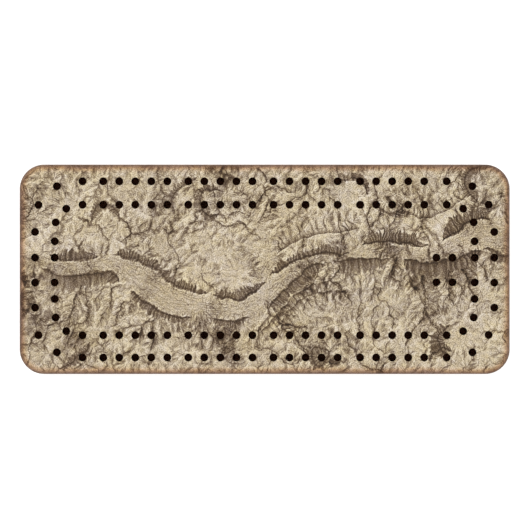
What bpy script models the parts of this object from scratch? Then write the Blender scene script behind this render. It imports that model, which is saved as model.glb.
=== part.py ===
"""Travel-size cribbage board.

A hardwood plank with a thin printed sheet on its playing face. Two tracks of
sixty peg holes run round the face, one inside the other, with four starting
holes near the +X end. The plank stands on four rubber bumpers. A pocket in its
underside stores four turned metal pegs. A brass plate swivels on one screw to
close the pocket, and a notch in its edge stops it against a second screw.

Frame: metres, +Z up. The origin is the centre of the footprint on the table,
+X runs along the board towards the starting holes, +Y across it. At rest the
brass plate is swung half a turn open, so the pegs can leave the pocket.
"""

import math

import bmesh
import bpy

MM = 0.001

# ---------------------------------------------------------------- dimensions
# All in millimetres.

# plank
BOARD_LENGTH = 194.0
BOARD_WIDTH = 82.8
BOARD_THICKNESS = 19.0
CORNER_RADIUS = 9.7
TOP_ROUNDOVER = 1.6
BOTTOM_CHAMFER = 0.8
OUTLINE_STEPS = 8  # segments in each corner of the plank and the sheet

# printed sheet
PRINT_INSET = 1.75  # from the plank's outline, just clear of the roundover
PRINT_THICKNESS = 0.3
PRINT_GAP = 0.2

# peg holes
HOLE_DIAMETER = 3.18  # an eighth of an inch
HOLE_PITCH = 6.35  # a quarter of an inch
HOLE_DEPTH = 10.0  # below the plank's top face
HOLE_SIDES = 10

# straight runs: groups of evenly pitched holes and two lone ones, whose X
# stations are shared by all the rows
GROUP_SIZE = 5
GROUP_STARTS = (-63.96, -30.25, 3.49, 37.80)
LONE_STATIONS = (-72.15, 72.10)
OUTER_ROWS = (34.85, -34.95)
INNER_ROWS = (25.57, -26.12)

# end turns: (x, y) for the +X end; the -X end mirrors them
OUTER_TURN = (
    (82.3, 32.9), (90.95, 14.8), (90.95, 4.63),
    (90.95, -5.27), (90.95, -15.2), (82.3, -32.9),
)
INNER_TURN = (
    (78.6, 24.0), (82.8, 18.6), (83.15, 11.1), (83.2, 4.6),
    (83.2, -5.2), (83.15, -11.75), (82.8, -19.1), (78.6, -24.5),
)
# the outer track's four shoulder holes (x, y), which do not mirror
SHOULDERS = ((-89.6, 25.5), (-89.6, -26.1), (88.7, 25.6), (88.7, -26.0))

# starting holes, one at each crossing
START_X = (68.0, 74.36)
START_Y = (4.6, -5.15)

# feet
FOOT_DIAMETER = 9.5
FOOT_HEIGHT = 4.0
FOOT_X = 84.0
FOOT_Y = 30.5

# clearances
GAP = 0.3  # where two pieces rest on each other or one sits in another
STACK_GAP = 0.1  # between the swivel plate, its washer and the screw heads
OVERSHOOT = 2.0  # of a cutter beyond the face of the plank or the sheet
THIN_OVERSHOOT = 1.0  # of a cutter beyond the plate or the washer

# peg pocket in the underside
POCKET_LENGTH = 33.0
POCKET_WIDTH = 21.0
POCKET_DEPTH = 6.5
POCKET_CORNER = 3.2

# pegs lying in the pocket
PEG_LENGTH = 28.6
PEG_SHAFT_DIAMETER = 3.0
PEG_TIP_DIAMETER = 2.5
PEG_HEAD_DIAMETER = 4.8
PEG_HEAD_LENGTH = 4.2
PEG_PITCH = 4.6
PEG_LIFT = 3.2  # peg axis above the underside

# swivel plate
PIVOT_X = 22.0
PLATE_REACH = 42.0  # from the pivot to the free end
PLATE_TAIL = 7.0  # from the pivot to the near end
PLATE_WIDTH = 27.0
PLATE_THICKNESS = 1.0
PLATE_CORNER = 4.0

# washer
WASHER_DIAMETER = 8.0
WASHER_THICKNESS = 0.4
WASHER_SIDES = 28

# screws
SHANK_DIAMETER = 3.0
SCREW_HEAD_DIAMETER = 6.4
SCREW_HEAD_HEIGHT = 1.6
SCREW_DEPTH = 8.0  # of the hole in the plank
SLOT_LENGTH = 1.4 * SCREW_HEAD_DIAMETER  # runs out past both sides of the head
SLOT_WIDTH = 0.9
SLOT_CUTTER_HEIGHT = 2.0
SLOT_CUTTER_DROP = 0.2  # cutter's centre below the head's lowest point
STOP_ALONG = 36.0  # stop screw from the pivot, along the closed plate
STOP_ASIDE = PLATE_WIDTH / 2  # and across it, on the plate's edge
STOP_X = PIVOT_X - STOP_ALONG
SHANK_HOLE_RADIUS = SHANK_DIAMETER / 2 + GAP
NOTCH_RADIUS = SHANK_HOLE_RADIUS + 0.05

# heights, from the table up to the sheet, then down from the underside
UNDERSIDE = FOOT_HEIGHT + GAP
PLANK_TOP = UNDERSIDE + BOARD_THICKNESS
PRINT_BOTTOM = PLANK_TOP + PRINT_GAP
PRINT_TOP = PRINT_BOTTOM + PRINT_THICKNESS
WASHER_TOP = UNDERSIDE - STACK_GAP
WASHER_BOTTOM = WASHER_TOP - WASHER_THICKNESS
PLATE_TOP = WASHER_BOTTOM - STACK_GAP
PLATE_BOTTOM = PLATE_TOP - PLATE_THICKNESS
SCREW_HEAD_TOP = PLATE_BOTTOM - STACK_GAP
SCREW_HEAD_BOTTOM = SCREW_HEAD_TOP - SCREW_HEAD_HEIGHT

SHARP_ANGLE = math.radians(35)  # edges sharper than this stay crisp


# ------------------------------------------------------------------- helpers
def clear_scene():
    for obj in list(bpy.data.objects):
        bpy.data.objects.remove(obj, do_unlink=True)


def material(name, colour, roughness, metallic=0.0):
    made = bpy.data.materials.new(name)
    made.use_nodes = True
    shader = made.node_tree.nodes["Principled BSDF"]
    shader.inputs["Base Color"].default_value = (*colour, 1.0)
    shader.inputs["Roughness"].default_value = roughness
    shader.inputs["Metallic"].default_value = metallic
    made.diffuse_color = (*colour, 1.0)
    return made


def add_object(name, data, x, y, z):
    """Links an object with its origin at a point in millimetres."""
    obj = bpy.data.objects.new(name, data)
    obj.location = (x * MM, y * MM, z * MM)
    bpy.context.scene.collection.objects.link(obj)
    return obj


def mesh_object(name, bm, look=None, x=0.0, y=0.0, z=0.0):
    """Turns a bmesh into a linked object and frees it."""
    bmesh.ops.recalc_face_normals(bm, faces=bm.faces)
    mesh = bpy.data.meshes.new(name)
    bm.to_mesh(mesh)
    bm.free()
    if look:
        mesh.materials.append(look)
    return add_object(name, mesh, x, y, z)


def cutter_object(name, bm, x=0.0, y=0.0):
    """A mesh object that only serves a boolean, and is not rendered."""
    obj = mesh_object(name, bm, x=x, y=y)
    obj.hide_render = True
    obj.display_type = "WIRE"
    return obj


def cut(obj, cutter, name):
    modifier = obj.modifiers.new(name, "BOOLEAN")
    modifier.operation = "DIFFERENCE"
    modifier.solver = "EXACT"
    modifier.object = cutter


def smooth(obj):
    obj.data.shade_smooth()
    obj.data.set_sharp_from_angle(angle=SHARP_ANGLE)


def rounded_rectangle(length, width, radius, steps, centre_x=0.0):
    """Counter-clockwise outline with arcs of `steps` segments at the corners."""
    points = []
    for quarter, (side_x, side_y) in enumerate(((1, 1), (-1, 1), (-1, -1), (1, -1))):
        arc_x = centre_x + side_x * (length / 2 - radius)
        arc_y = side_y * (width / 2 - radius)
        for i in range(steps + 1):
            angle = math.radians(90 * (quarter + i / steps))
            points.append(
                (arc_x + radius * math.cos(angle), arc_y + radius * math.sin(angle))
            )
    return points


def prism(outline, bottom, top):
    """A closed prism over an outline, as a bmesh."""
    bm = bmesh.new()
    floor = [bm.verts.new((x * MM, y * MM, bottom * MM)) for x, y in outline]
    face = bm.faces.new(floor)
    raised = bmesh.ops.extrude_face_region(bm, geom=[face])
    for item in raised["geom"]:
        if isinstance(item, bmesh.types.BMVert):
            item.co.z = top * MM
    return bm


def cylinders(circles, bottom, top, sides):
    """Closed upright cylinders over (x, y, radius) circles, in one bmesh."""
    bm = bmesh.new()
    for x, y, radius in circles:
        made = bmesh.ops.create_cone(
            bm,
            cap_ends=True,
            cap_tris=False,
            segments=sides,
            radius1=radius * MM,
            radius2=radius * MM,
            depth=(top - bottom) * MM,
        )
        for vert in made["verts"]:
            vert.co.x += x * MM
            vert.co.y += y * MM
            vert.co.z += (top + bottom) / 2 * MM
    return bm


def turned(profile, sides):
    """Spins a (radius, height) profile with both ends on the Z axis into a solid."""
    bm = bmesh.new()
    line = [bm.verts.new((radius * MM, 0.0, z * MM)) for radius, z in profile]
    edges = [bm.edges.new(pair) for pair in zip(line, line[1:])]
    bmesh.ops.spin(
        bm,
        geom=line + edges,
        axis=(0, 0, 1),
        cent=(0, 0, 0),
        steps=sides,
        angle=math.tau,
        use_merge=True,
    )
    bmesh.ops.remove_doubles(bm, verts=bm.verts, dist=1e-7)
    return bm


def edges_at(bm, height):
    return [
        edge
        for edge in bm.edges
        if all(abs(vert.co.z - height * MM) < 1e-7 for vert in edge.verts)
    ]


# -------------------------------------------------------------------- pieces
def peg_hole_positions():
    """Every peg hole as (x, y): straight runs, turns, shoulders, start holes."""
    stations = list(LONE_STATIONS)
    for start in GROUP_STARTS:
        stations += [start + i * HOLE_PITCH for i in range(GROUP_SIZE)]
    spots = []
    for row in OUTER_ROWS + INNER_ROWS:
        spots += [(x, row) for x in stations]
    for turn in (OUTER_TURN, INNER_TURN):
        for end in (-1, 1):
            spots += [(end * x, y) for x, y in turn]
    spots += SHOULDERS
    spots += [(x, y) for x in START_X for y in START_Y]
    return spots


def build_peg_hole_cutter():
    """One cutter for the holes through the sheet and into the plank."""
    circles = [(x, y, HOLE_DIAMETER / 2) for x, y in peg_hole_positions()]
    bottom = PLANK_TOP - HOLE_DEPTH
    bm = cylinders(circles, bottom, PRINT_TOP + OVERSHOOT, HOLE_SIDES)
    return cutter_object("peg_hole_cutter", bm)


def build_plank(look, peg_hole_cutter):
    """Plank with a rounded top edge and a light chamfer below."""
    outline = rounded_rectangle(BOARD_LENGTH, BOARD_WIDTH, CORNER_RADIUS, OUTLINE_STEPS)
    bm = prism(outline, UNDERSIDE, PLANK_TOP)
    bmesh.ops.bevel(
        bm,
        geom=edges_at(bm, PLANK_TOP),
        offset=TOP_ROUNDOVER * MM,
        segments=3,
        profile=0.5,
        affect="EDGES",
    )
    bmesh.ops.bevel(
        bm,
        geom=edges_at(bm, UNDERSIDE),
        offset=BOTTOM_CHAMFER * MM,
        segments=1,
        affect="EDGES",
    )
    plank = mesh_object("board_body", bm, look)

    pocket = rounded_rectangle(POCKET_LENGTH, POCKET_WIDTH, POCKET_CORNER, steps=5)
    cutter_bottom = UNDERSIDE - OVERSHOOT
    pocket_cutter = cutter_object(
        "pocket_cutter", prism(pocket, cutter_bottom, UNDERSIDE + POCKET_DEPTH)
    )
    screw_holes = [
        (PIVOT_X, 0.0, SHANK_HOLE_RADIUS),
        (STOP_X, STOP_ASIDE, SHANK_HOLE_RADIUS),
    ]
    pilot_cutter = cutter_object(
        "pilot_cutter",
        cylinders(screw_holes, cutter_bottom, UNDERSIDE + SCREW_DEPTH, sides=16),
    )
    cut(plank, peg_hole_cutter, "peg_holes")
    cut(plank, pocket_cutter, "peg_pocket")
    cut(plank, pilot_cutter, "screw_holes")
    smooth(plank)


def build_print(look, peg_hole_cutter):
    """Printed sheet on the playing face."""
    outline = rounded_rectangle(
        BOARD_LENGTH - 2 * PRINT_INSET,
        BOARD_WIDTH - 2 * PRINT_INSET,
        CORNER_RADIUS - PRINT_INSET,
        OUTLINE_STEPS,
    )
    sheet = mesh_object("map_print", prism(outline, PRINT_BOTTOM, PRINT_TOP), look)
    cut(sheet, peg_hole_cutter, "peg_holes")


def build_feet(look):
    """Rubber bumpers, one under each corner; front is -Y, left is -X."""
    radius = FOOT_DIAMETER / 2
    profile = [
        (0.0, 0.0),
        (radius - 1.1, 0.0),
        (radius - 0.45, 0.3),
        (radius - 0.15, 0.9),
        (radius, FOOT_HEIGHT - 0.6),
        (radius, FOOT_HEIGHT),
        (0.0, FOOT_HEIGHT),
    ]
    for end, x in (("left", -FOOT_X), ("right", FOOT_X)):
        for side, y in (("front", -FOOT_Y), ("back", FOOT_Y)):
            bm = turned(profile, sides=20)
            smooth(mesh_object(f"foot_{side}_{end}", bm, look, x, y))


def build_cover(look):
    """Swivel plate, hung from an empty on its hinge axis."""
    pivot = add_object("cover_pivot_axis", None, PIVOT_X, 0.0, 0.0)
    outline = rounded_rectangle(
        PLATE_REACH + PLATE_TAIL,
        PLATE_WIDTH,
        PLATE_CORNER,
        steps=6,
        centre_x=(PLATE_REACH - PLATE_TAIL) / 2,
    )
    cover = mesh_object("storage_cover", prism(outline, PLATE_BOTTOM, PLATE_TOP), look)
    cover.parent = pivot

    # the notch closes round the stop screw's shank after half a turn
    circles = [
        (0.0, 0.0, SHANK_HOLE_RADIUS),
        (STOP_ALONG, -STOP_ASIDE, NOTCH_RADIUS),
    ]
    bottom = PLATE_BOTTOM - THIN_OVERSHOOT
    bm = cylinders(circles, bottom, PLATE_TOP + THIN_OVERSHOOT, sides=24)
    cutter = cutter_object("plate_cutter", bm)
    cutter.parent = pivot
    cut(cover, cutter, "pivot_hole_and_notch")


def build_washer(look):
    """Spacer round the pivot screw, between the plank and the plate."""
    radius = WASHER_DIAMETER / 2
    angles = [math.tau * i / WASHER_SIDES for i in range(WASHER_SIDES)]
    outline = [(radius * math.cos(angle), radius * math.sin(angle)) for angle in angles]
    bm = prism(outline, WASHER_BOTTOM, WASHER_TOP)
    washer = mesh_object("pivot_washer", bm, look, x=PIVOT_X)

    bottom = WASHER_BOTTOM - THIN_OVERSHOOT
    top = WASHER_TOP + THIN_OVERSHOOT
    bm = cylinders([(0.0, 0.0, SHANK_HOLE_RADIUS)], bottom, top, sides=24)
    cut(washer, cutter_object("washer_cutter", bm, x=PIVOT_X), "washer_hole")


def build_screw(name, look, x, y, slot_angle):
    """Screw with a slotted, domed head below the plate and its shank in the plank."""
    head_radius = SCREW_HEAD_DIAMETER / 2
    shank_radius = SHANK_DIAMETER / 2
    shank_top = UNDERSIDE + SCREW_DEPTH - GAP
    profile = [
        (0.0, SCREW_HEAD_BOTTOM),
        (head_radius * 0.62, SCREW_HEAD_BOTTOM + 0.12),
        (head_radius * 0.9, SCREW_HEAD_BOTTOM + 0.55),
        (head_radius, SCREW_HEAD_BOTTOM + 1.1),
        (head_radius, SCREW_HEAD_TOP),
        (shank_radius, SCREW_HEAD_TOP),
        (shank_radius, shank_top - 1.6),
        (0.35, shank_top),
        (0.0, shank_top),
    ]
    screw = mesh_object(name, turned(profile, sides=24), look, x, y)

    bm = bmesh.new()
    bmesh.ops.create_cube(bm, size=1.0)
    slot_z = SCREW_HEAD_BOTTOM - SLOT_CUTTER_DROP
    for vert in bm.verts:
        vert.co.x *= SLOT_LENGTH * MM
        vert.co.y *= SLOT_WIDTH * MM
        vert.co.z = (vert.co.z * SLOT_CUTTER_HEIGHT + slot_z) * MM
    slot = cutter_object(name + "_slot_cutter", bm, x, y)
    slot.rotation_euler.z = math.radians(slot_angle)
    cut(screw, slot, "driver_slot")
    smooth(screw)


def build_pegs(looks):
    """Pegs side by side along X in the pocket, with heads at alternate ends.

    Each hangs from an empty on the centre of its own axis.
    """
    tip_radius = PEG_TIP_DIAMETER / 2
    shaft_radius = PEG_SHAFT_DIAMETER / 2
    head_radius = PEG_HEAD_DIAMETER / 2
    head_start = PEG_LENGTH - PEG_HEAD_LENGTH
    profile = [
        (0.0, 0.0),
        (tip_radius - 0.5, 0.0),
        (tip_radius, 0.6),
        (shaft_radius, head_start - 1.4),
        (shaft_radius, head_start - 0.6),
        (head_radius - 0.3, head_start),
        (head_radius, head_start + 0.5),
        (head_radius, PEG_LENGTH - 1.4),
        (head_radius - 0.7, PEG_LENGTH - 0.35),
        (0.0, PEG_LENGTH),
    ]
    middle = (len(looks) - 1) / 2
    for index, (name, look) in enumerate(looks):
        facing = 1 if index % 2 == 0 else -1  # the head's end along X
        y = (index - middle) * PEG_PITCH
        axis = add_object(name + "_lift_axis", None, 0.0, y, UNDERSIDE + PEG_LIFT)
        bm = turned(profile, sides=14)
        peg = mesh_object(name, bm, look, x=-facing * PEG_LENGTH / 2)
        peg.parent = axis
        peg.rotation_euler.y = facing * math.pi / 2
        smooth(peg)


# --------------------------------------------------------------------- build
clear_scene()

wood = material("stained_wood", colour=(0.21, 0.125, 0.07), roughness=0.55)
paper = material("map_paper", colour=(0.42, 0.35, 0.24), roughness=0.6)
brass = material("brass", colour=(0.78, 0.56, 0.23), roughness=0.3, metallic=1.0)
steel = material("nickel_steel", colour=(0.62, 0.61, 0.58), roughness=0.22, metallic=1.0)
rubber = material("foot_rubber", colour=(0.02, 0.02, 0.02), roughness=0.8)

peg_holes = build_peg_hole_cutter()
build_plank(wood, peg_holes)
build_print(paper, peg_holes)
build_feet(rubber)
build_cover(brass)
build_washer(steel)
build_screw("pivot_screw", brass, PIVOT_X, 0.0, slot_angle=20)
build_screw("stop_screw", brass, STOP_X, STOP_ASIDE, slot_angle=65)
build_pegs(
    (
        ("peg_brass_1", brass),
        ("peg_steel_1", steel),
        ("peg_brass_2", brass),
        ("peg_steel_2", steel),
    )
)

bpy.context.view_layer.update()
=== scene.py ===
"""Looks of a travel-size cribbage board: a stained hardwood plank with a printed
relief map on its playing face, turned metal pegs in a store underneath, a brass
swivel plate and rubber feet. The board lies level on its feet at z = 0, its length
along X, its width along Y and its middle at the origin. The map is invented, drawn
by rule: a relief worn by its own streams, with pen strokes down its slopes."""

import math

import bmesh
import bpy
import numpy as np
from mathutils import Matrix, Vector, geometry


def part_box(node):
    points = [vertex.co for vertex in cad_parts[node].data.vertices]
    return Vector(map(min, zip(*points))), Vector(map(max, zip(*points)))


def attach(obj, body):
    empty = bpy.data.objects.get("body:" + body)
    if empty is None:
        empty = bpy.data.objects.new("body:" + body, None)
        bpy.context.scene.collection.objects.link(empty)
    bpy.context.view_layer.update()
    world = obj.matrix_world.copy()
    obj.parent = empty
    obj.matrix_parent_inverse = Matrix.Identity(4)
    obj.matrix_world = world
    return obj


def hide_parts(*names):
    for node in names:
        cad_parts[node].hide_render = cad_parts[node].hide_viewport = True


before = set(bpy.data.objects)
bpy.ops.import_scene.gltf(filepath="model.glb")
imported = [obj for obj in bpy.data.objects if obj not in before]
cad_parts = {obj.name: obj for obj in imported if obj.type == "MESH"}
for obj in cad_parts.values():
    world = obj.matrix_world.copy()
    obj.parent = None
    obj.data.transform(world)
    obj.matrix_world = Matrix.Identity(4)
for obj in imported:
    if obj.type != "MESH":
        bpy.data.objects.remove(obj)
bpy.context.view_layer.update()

MM = 0.001


# ============================================================ sizes, in mm
def node_box(name):
    """The low and high corners of a CAD piece."""
    low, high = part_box(name)
    return [v * 1000 for v in low], [v * 1000 for v in high]


PLANK_LOW, PLANK_HIGH = node_box("board_body")
SHEET_LOW, SHEET_HIGH = node_box("map_print")
FINISH = 0.12  # the stain and lacquer stand this proud of the solid's sides
BOARD_X, BOARD_Y = PLANK_HIGH[0] + FINISH, PLANK_HIGH[1] + FINISH  # half sizes
SHEET_X, SHEET_Y = SHEET_HIGH[0], SHEET_HIGH[1]  # half sizes
SHEET_TOP, SHEET_BOTTOM = SHEET_HIGH[2], SHEET_LOW[2]
UNDERSIDE, PLANK_TOP = PLANK_LOW[2], SHEET_BOTTOM - 0.02
INSET = BOARD_X - SHEET_X  # board's outline to sheet's; also the top edge's radius
BOARD_CORNER = 9.7
SHEET_CORNER = BOARD_CORNER - INSET
HOLE_RADIUS = 1.575
HOLE_FLOOR = PLANK_HIGH[2] - 10.0
PITCH = 6.35
STORE_DEPTH = 6.5
PIVOT, STOP = (22.0, 0.0), (-14.0, 13.5)  # the two screws
NOTCH = (58.0, -13.5)  # the hole in the swivel plate beside the pivot's
SCREW_BORE = 1.75


def hole_positions():
    """Centres of the peg holes: four straight rows, two bends at each end, start holes."""
    stations = [-72.15, 72.10]
    for start in (-63.96, -30.25, 3.49, 37.80):
        stations += [start + i * PITCH for i in range(5)]
    spots = [(x, y) for y in (34.85, -34.95, 25.57, -26.12) for x in stations]
    # the bends at the +X end, as x, y; mirrored to the -X end
    outer = ((82.3, 32.9), (90.95, 14.8), (90.95, 4.63), (90.95, -5.27), (90.95, -15.2))
    outer += ((82.3, -32.9),)
    inner = ((78.6, 24.0), (82.8, 18.6), (83.15, 11.1), (83.2, 4.6))
    inner += ((83.2, -5.2), (83.15, -11.75), (82.8, -19.1), (78.6, -24.5))
    spots += [(end * x, y) for end in (-1, 1) for x, y in outer + inner]
    spots += [(-89.6, 25.5), (-89.6, -26.1), (88.7, 25.6), (88.7, -26.0)]
    spots += [(x, y) for x in (68.0, 74.36) for y in (4.6, -5.15)]
    return spots


HOLES = hole_positions()


# ==================================================== tools for the drawing
STEP = 0.2  # the drawing's grid
CELL = 0.5  # the coarse grid on which the relief is worn


def board_grid(columns, rows):
    """An even grid over the board's whole outline, row 0 at its -Y edge."""
    xs = np.linspace(-BOARD_X, BOARD_X, columns)
    return np.meshgrid(xs, np.linspace(-BOARD_Y, BOARD_Y, rows))


GRID_X, GRID_Y = board_grid(
    int(round(2 * BOARD_X / STEP)) + 1, int(round(2 * BOARD_Y / STEP)) + 1
)
SHAPE = GRID_X.shape
COARSE_X, COARSE_Y = board_grid(int(2 * BOARD_X / CELL) + 1, int(2 * BOARD_Y / CELL) + 1)


def blur(field, sigma):
    """Gaussian blur by FFT, edges padded by reflection."""
    pad = int(3 * sigma) + 2
    padded = np.pad(field, pad, mode="reflect")
    freq_y = np.fft.fftfreq(padded.shape[0])[:, None]
    freq_x = np.fft.rfftfreq(padded.shape[1])[None, :]
    gain = np.exp(-2 * (np.pi * sigma) ** 2 * (freq_x * freq_x + freq_y * freq_y))
    blurred = np.fft.irfft2(np.fft.rfft2(padded) * gain, padded.shape)
    return blurred[pad:-pad, pad:-pad]


def fractal(shape, step, seed, biggest, smallest, slope=1.0):
    """Fractal noise of zero mean and unit spread, with features between two sizes in mm."""
    rng = np.random.RandomState(seed)
    freq_y = np.fft.fftfreq(shape[0], step)[:, None]
    freq_x = np.fft.rfftfreq(shape[1], step)[None, :]
    freq = np.sqrt(freq_x * freq_x + freq_y * freq_y)
    freq[0, 0] = 1
    gain = freq ** (-slope - 1.0) * np.exp(-((1 / biggest / freq) ** 2))
    gain = gain * np.exp(-((freq * smallest) ** 2))
    gain[0, 0] = 0
    field = np.fft.irfft2(np.fft.rfft2(rng.standard_normal(shape)) * gain, shape)
    return field / field.std()


SEED = 11  # of the drawing; every layer adds its own offset


def noise(offset, biggest, smallest, slope=1.0):
    """Fractal noise over the drawing's grid."""
    return fractal(SHAPE, STEP, SEED + offset, biggest, smallest, slope)


def coarse_noise(offset, biggest, smallest, slope=1.0):
    return fractal(COARSE_X.shape, CELL, SEED + offset, biggest, smallest, slope)


# two shakes of the hand, in mm: a fine one and a slow one
WOBBLE_X, WOBBLE_Y = 0.45 * noise(0, 7, 0.5), 0.45 * noise(1, 7, 0.5)
SWAY_X, SWAY_Y = 0.55 * noise(30, 12, 2.5), 0.55 * noise(31, 12, 2.5)


def sample(field, x, y):
    """Bilinear sample of field at fractional column x, row y."""
    x = np.clip(x, 0, field.shape[1] - 1.001)
    y = np.clip(y, 0, field.shape[0] - 1.001)
    i, j = x.astype(np.int32), y.astype(np.int32)
    right, up = x - i, y - j
    lower = field[j, i] * (1 - right) + field[j, i + 1] * right
    upper = field[j + 1, i] * (1 - right) + field[j + 1, i + 1] * right
    return lower * (1 - up) + upper * up


def refine(field, wobble):
    """Samples a coarse field over the drawing's grid, shaken by wobble."""
    x = (GRID_X + BOARD_X) / CELL + wobble * WOBBLE_X
    return sample(field, x, (GRID_Y + BOARD_Y) / CELL + wobble * WOBBLE_Y)


def curve(points):
    """Chaikin smoothing of an open polyline."""
    path = np.array(points, float)
    for _ in range(3):
        cut_path = np.empty((2 * len(path) - 2, 2))
        cut_path[0::2] = 0.75 * path[:-1] + 0.25 * path[1:]
        cut_path[1::2] = 0.25 * path[:-1] + 0.75 * path[1:]
        path = np.vstack([path[:1], cut_path, path[-1:]])
    return path


def near(points, grid_x, grid_y, reach):
    """Distance, side (1 on the left) and arc length of each grid point from the curve through
    points, within reach of it, and the curve's own length. The grid may be shaken a little."""
    distance = np.full(grid_x.shape, 1e9)
    side = np.zeros(grid_x.shape)
    along = np.zeros(grid_x.shape)
    run = 0.0
    path = curve(points)
    rows, columns = grid_x.shape
    step_x, step_y = 2 * BOARD_X / (columns - 1), 2 * BOARD_Y / (rows - 1)
    margin = reach + 2.5  # leaves room for the shake
    for (x0, y0), (x1, y1) in zip(path, path[1:]):
        length = np.hypot(x1 - x0, y1 - y0)
        i0 = max(0, int((min(x0, x1) - margin + BOARD_X) / step_x))
        i1 = min(columns, int((max(x0, x1) + margin + BOARD_X) / step_x) + 2)
        j0 = max(0, int((min(y0, y1) - margin + BOARD_Y) / step_y))
        j1 = min(rows, int((max(y0, y1) + margin + BOARD_Y) / step_y) + 2)
        if i1 > i0 and j1 > j0 and length > 0:
            window = np.s_[j0:j1, i0:i1]
            x, y = grid_x[window], grid_y[window]
            way_x, way_y = (x1 - x0) / length, (y1 - y0) / length
            foot = np.clip((x - x0) * way_x + (y - y0) * way_y, 0, length)
            dx, dy = x - x0 - foot * way_x, y - y0 - foot * way_y
            gap = np.hypot(dx, dy)
            hit = gap < distance[window]
            distance[window][hit] = gap[hit]
            side[window][hit] = np.sign(way_x * dy - way_y * dx)[hit]
            along[window][hit] = (run + foot)[hit]
        run += length
    return distance, side, along, run


def trace(points, reach, sway=0.0, wobble=0.0):
    """near() over the drawing's grid, shaken by shares of the sway and the wobble."""
    x = GRID_X + sway * SWAY_X + wobble * WOBBLE_X
    return near(points, x, GRID_Y + sway * SWAY_Y + wobble * WOBBLE_Y, reach)


def erode(z, fixed, rise, cell, rounds):
    """Wears a height field down along its own streams: each round lifts it, sends every cell's
    water to its lowest neighbour, and lowers each cell towards that neighbour by how much
    water passes. Returns the height, the water and each cell's neighbour downstream."""
    wear = 0.12
    shape = z.shape
    rows, columns = shape
    index = np.arange(z.size).reshape(shape)
    held = fixed.ravel().tolist()
    neighbours = [(dy, dx) for dy in (-1, 0, 1) for dx in (-1, 0, 1) if dy or dx]
    for _ in range(rounds):
        z = z + rise * (~fixed)
        steepest, lowest, gap = np.zeros(shape), index.copy(), np.ones(shape)
        z_padded = np.pad(z, 1, mode="edge")
        index_padded = np.pad(index, 1, mode="edge")
        for dy, dx in neighbours:
            window = np.s_[1 + dy : 1 + dy + rows, 1 + dx : 1 + dx + columns]
            reach = (dx * dx + dy * dy) ** 0.5
            slope = (z - z_padded[window]) / reach
            better = slope > steepest
            steepest[better] = slope[better]
            lowest[better] = index_padded[window][better]
            gap[better] = reach
        lowest = lowest.ravel()
        downstream = lowest.tolist()
        order = np.argsort(z.ravel(), kind="stable")
        water = [1.0] * z.size
        for i in order[::-1].tolist():
            if downstream[i] != i:
                water[downstream[i]] += water[i]
        water = np.array(water) * cell * cell
        pull = (wear * np.sqrt(water) / (gap.ravel() * cell)).tolist()
        heights = z.ravel().tolist()
        for i in order.tolist():
            j = downstream[i]
            if j != i and not held[i]:
                heights[i] = (heights[i] + pull[i] * heights[j]) / (1 + pull[i])
        z = np.array(heights).reshape(shape)
    return z, water.reshape(shape), lowest


# ============================================ the invented country, in mm
# A valley winds across it with a branch, cliffs stand along its banks, gullies run down to
# it, and slopes and shades lie between. All parts draw from one generator, in this order.
country = np.random.RandomState(8)
PHASE = country.uniform(0, 2 * math.pi, 6)
ALL_ROUND = 2 * math.pi


def bend(x):
    """The valley's middle line: y at x."""
    bends = 12 * np.sin(x / 30 + PHASE[0]) + 5 * np.sin(x / 12.5 + PHASE[1])
    return bends + 1.6 * np.sin(x / 5.7 + PHASE[2])


def breadth(x):
    """The valley floor's half width at x."""
    wide = 2.7 + 1.9 * np.sin(x / 21 + PHASE[3]) + 0.8 * np.sin(x / 7 + PHASE[4])
    return np.clip(wide, 0.6, 5)


def lay_floors():
    """The valley and its branch, each a list of ((x, y), half width)."""
    xs = np.linspace(-BOARD_X - 4, BOARD_X + 4, 43)
    valley = [((x, y), half) for x, y, half in zip(xs, bend(xs), breadth(xs))]
    x = country.uniform(-45, 45)
    way = -1.0 if bend(x) > 0 else 1.0
    y, heading = float(bend(x)), way * 1.2
    branch = []
    for k in range(9):
        branch.append(((x, y), 2.6 * (1 - k / 10) + 0.3))
        heading += 0.35 * country.standard_normal()
        heading = way * np.clip(abs(heading), 0.5, 2.4)
        x, y = x + 5.2 * math.cos(heading), y + 5.2 * math.sin(heading)
    return [valley, branch]


FLOORS = lay_floors()
FLOOR_POINTS = np.array([point for floor in FLOORS for point, _ in floor])
FLOOR_HALVES = np.array([half for floor in FLOORS for _, half in floor])


def downhill(x, y):
    """The nearest point of the valley: the distance from its bank, and the heading to it."""
    distance = np.hypot(FLOOR_POINTS[:, 0] - x, FLOOR_POINTS[:, 1] - y)
    k = int(np.argmin(distance))
    heading = math.atan2(FLOOR_POINTS[k, 1] - y, FLOOR_POINTS[k, 0] - x)
    return distance[k] - FLOOR_HALVES[k], heading


def random_spot(clear):
    """A random point at least clear away from the valley's bank."""
    while True:
        x, y = country.uniform(-BOARD_X, BOARD_X), country.uniform(-BOARD_Y, BOARD_Y)
        if downhill(x, y)[0] > clear:
            return x, y


def walk(x, y, heading, steps, stride, wander, turn=0.0):
    points = [(x, y)]
    for _ in range(steps):
        heading += turn + wander * country.standard_normal()
        x, y = x + stride * math.cos(heading), y + stride * math.sin(heading)
        points.append((x, y))
    return points


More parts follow.
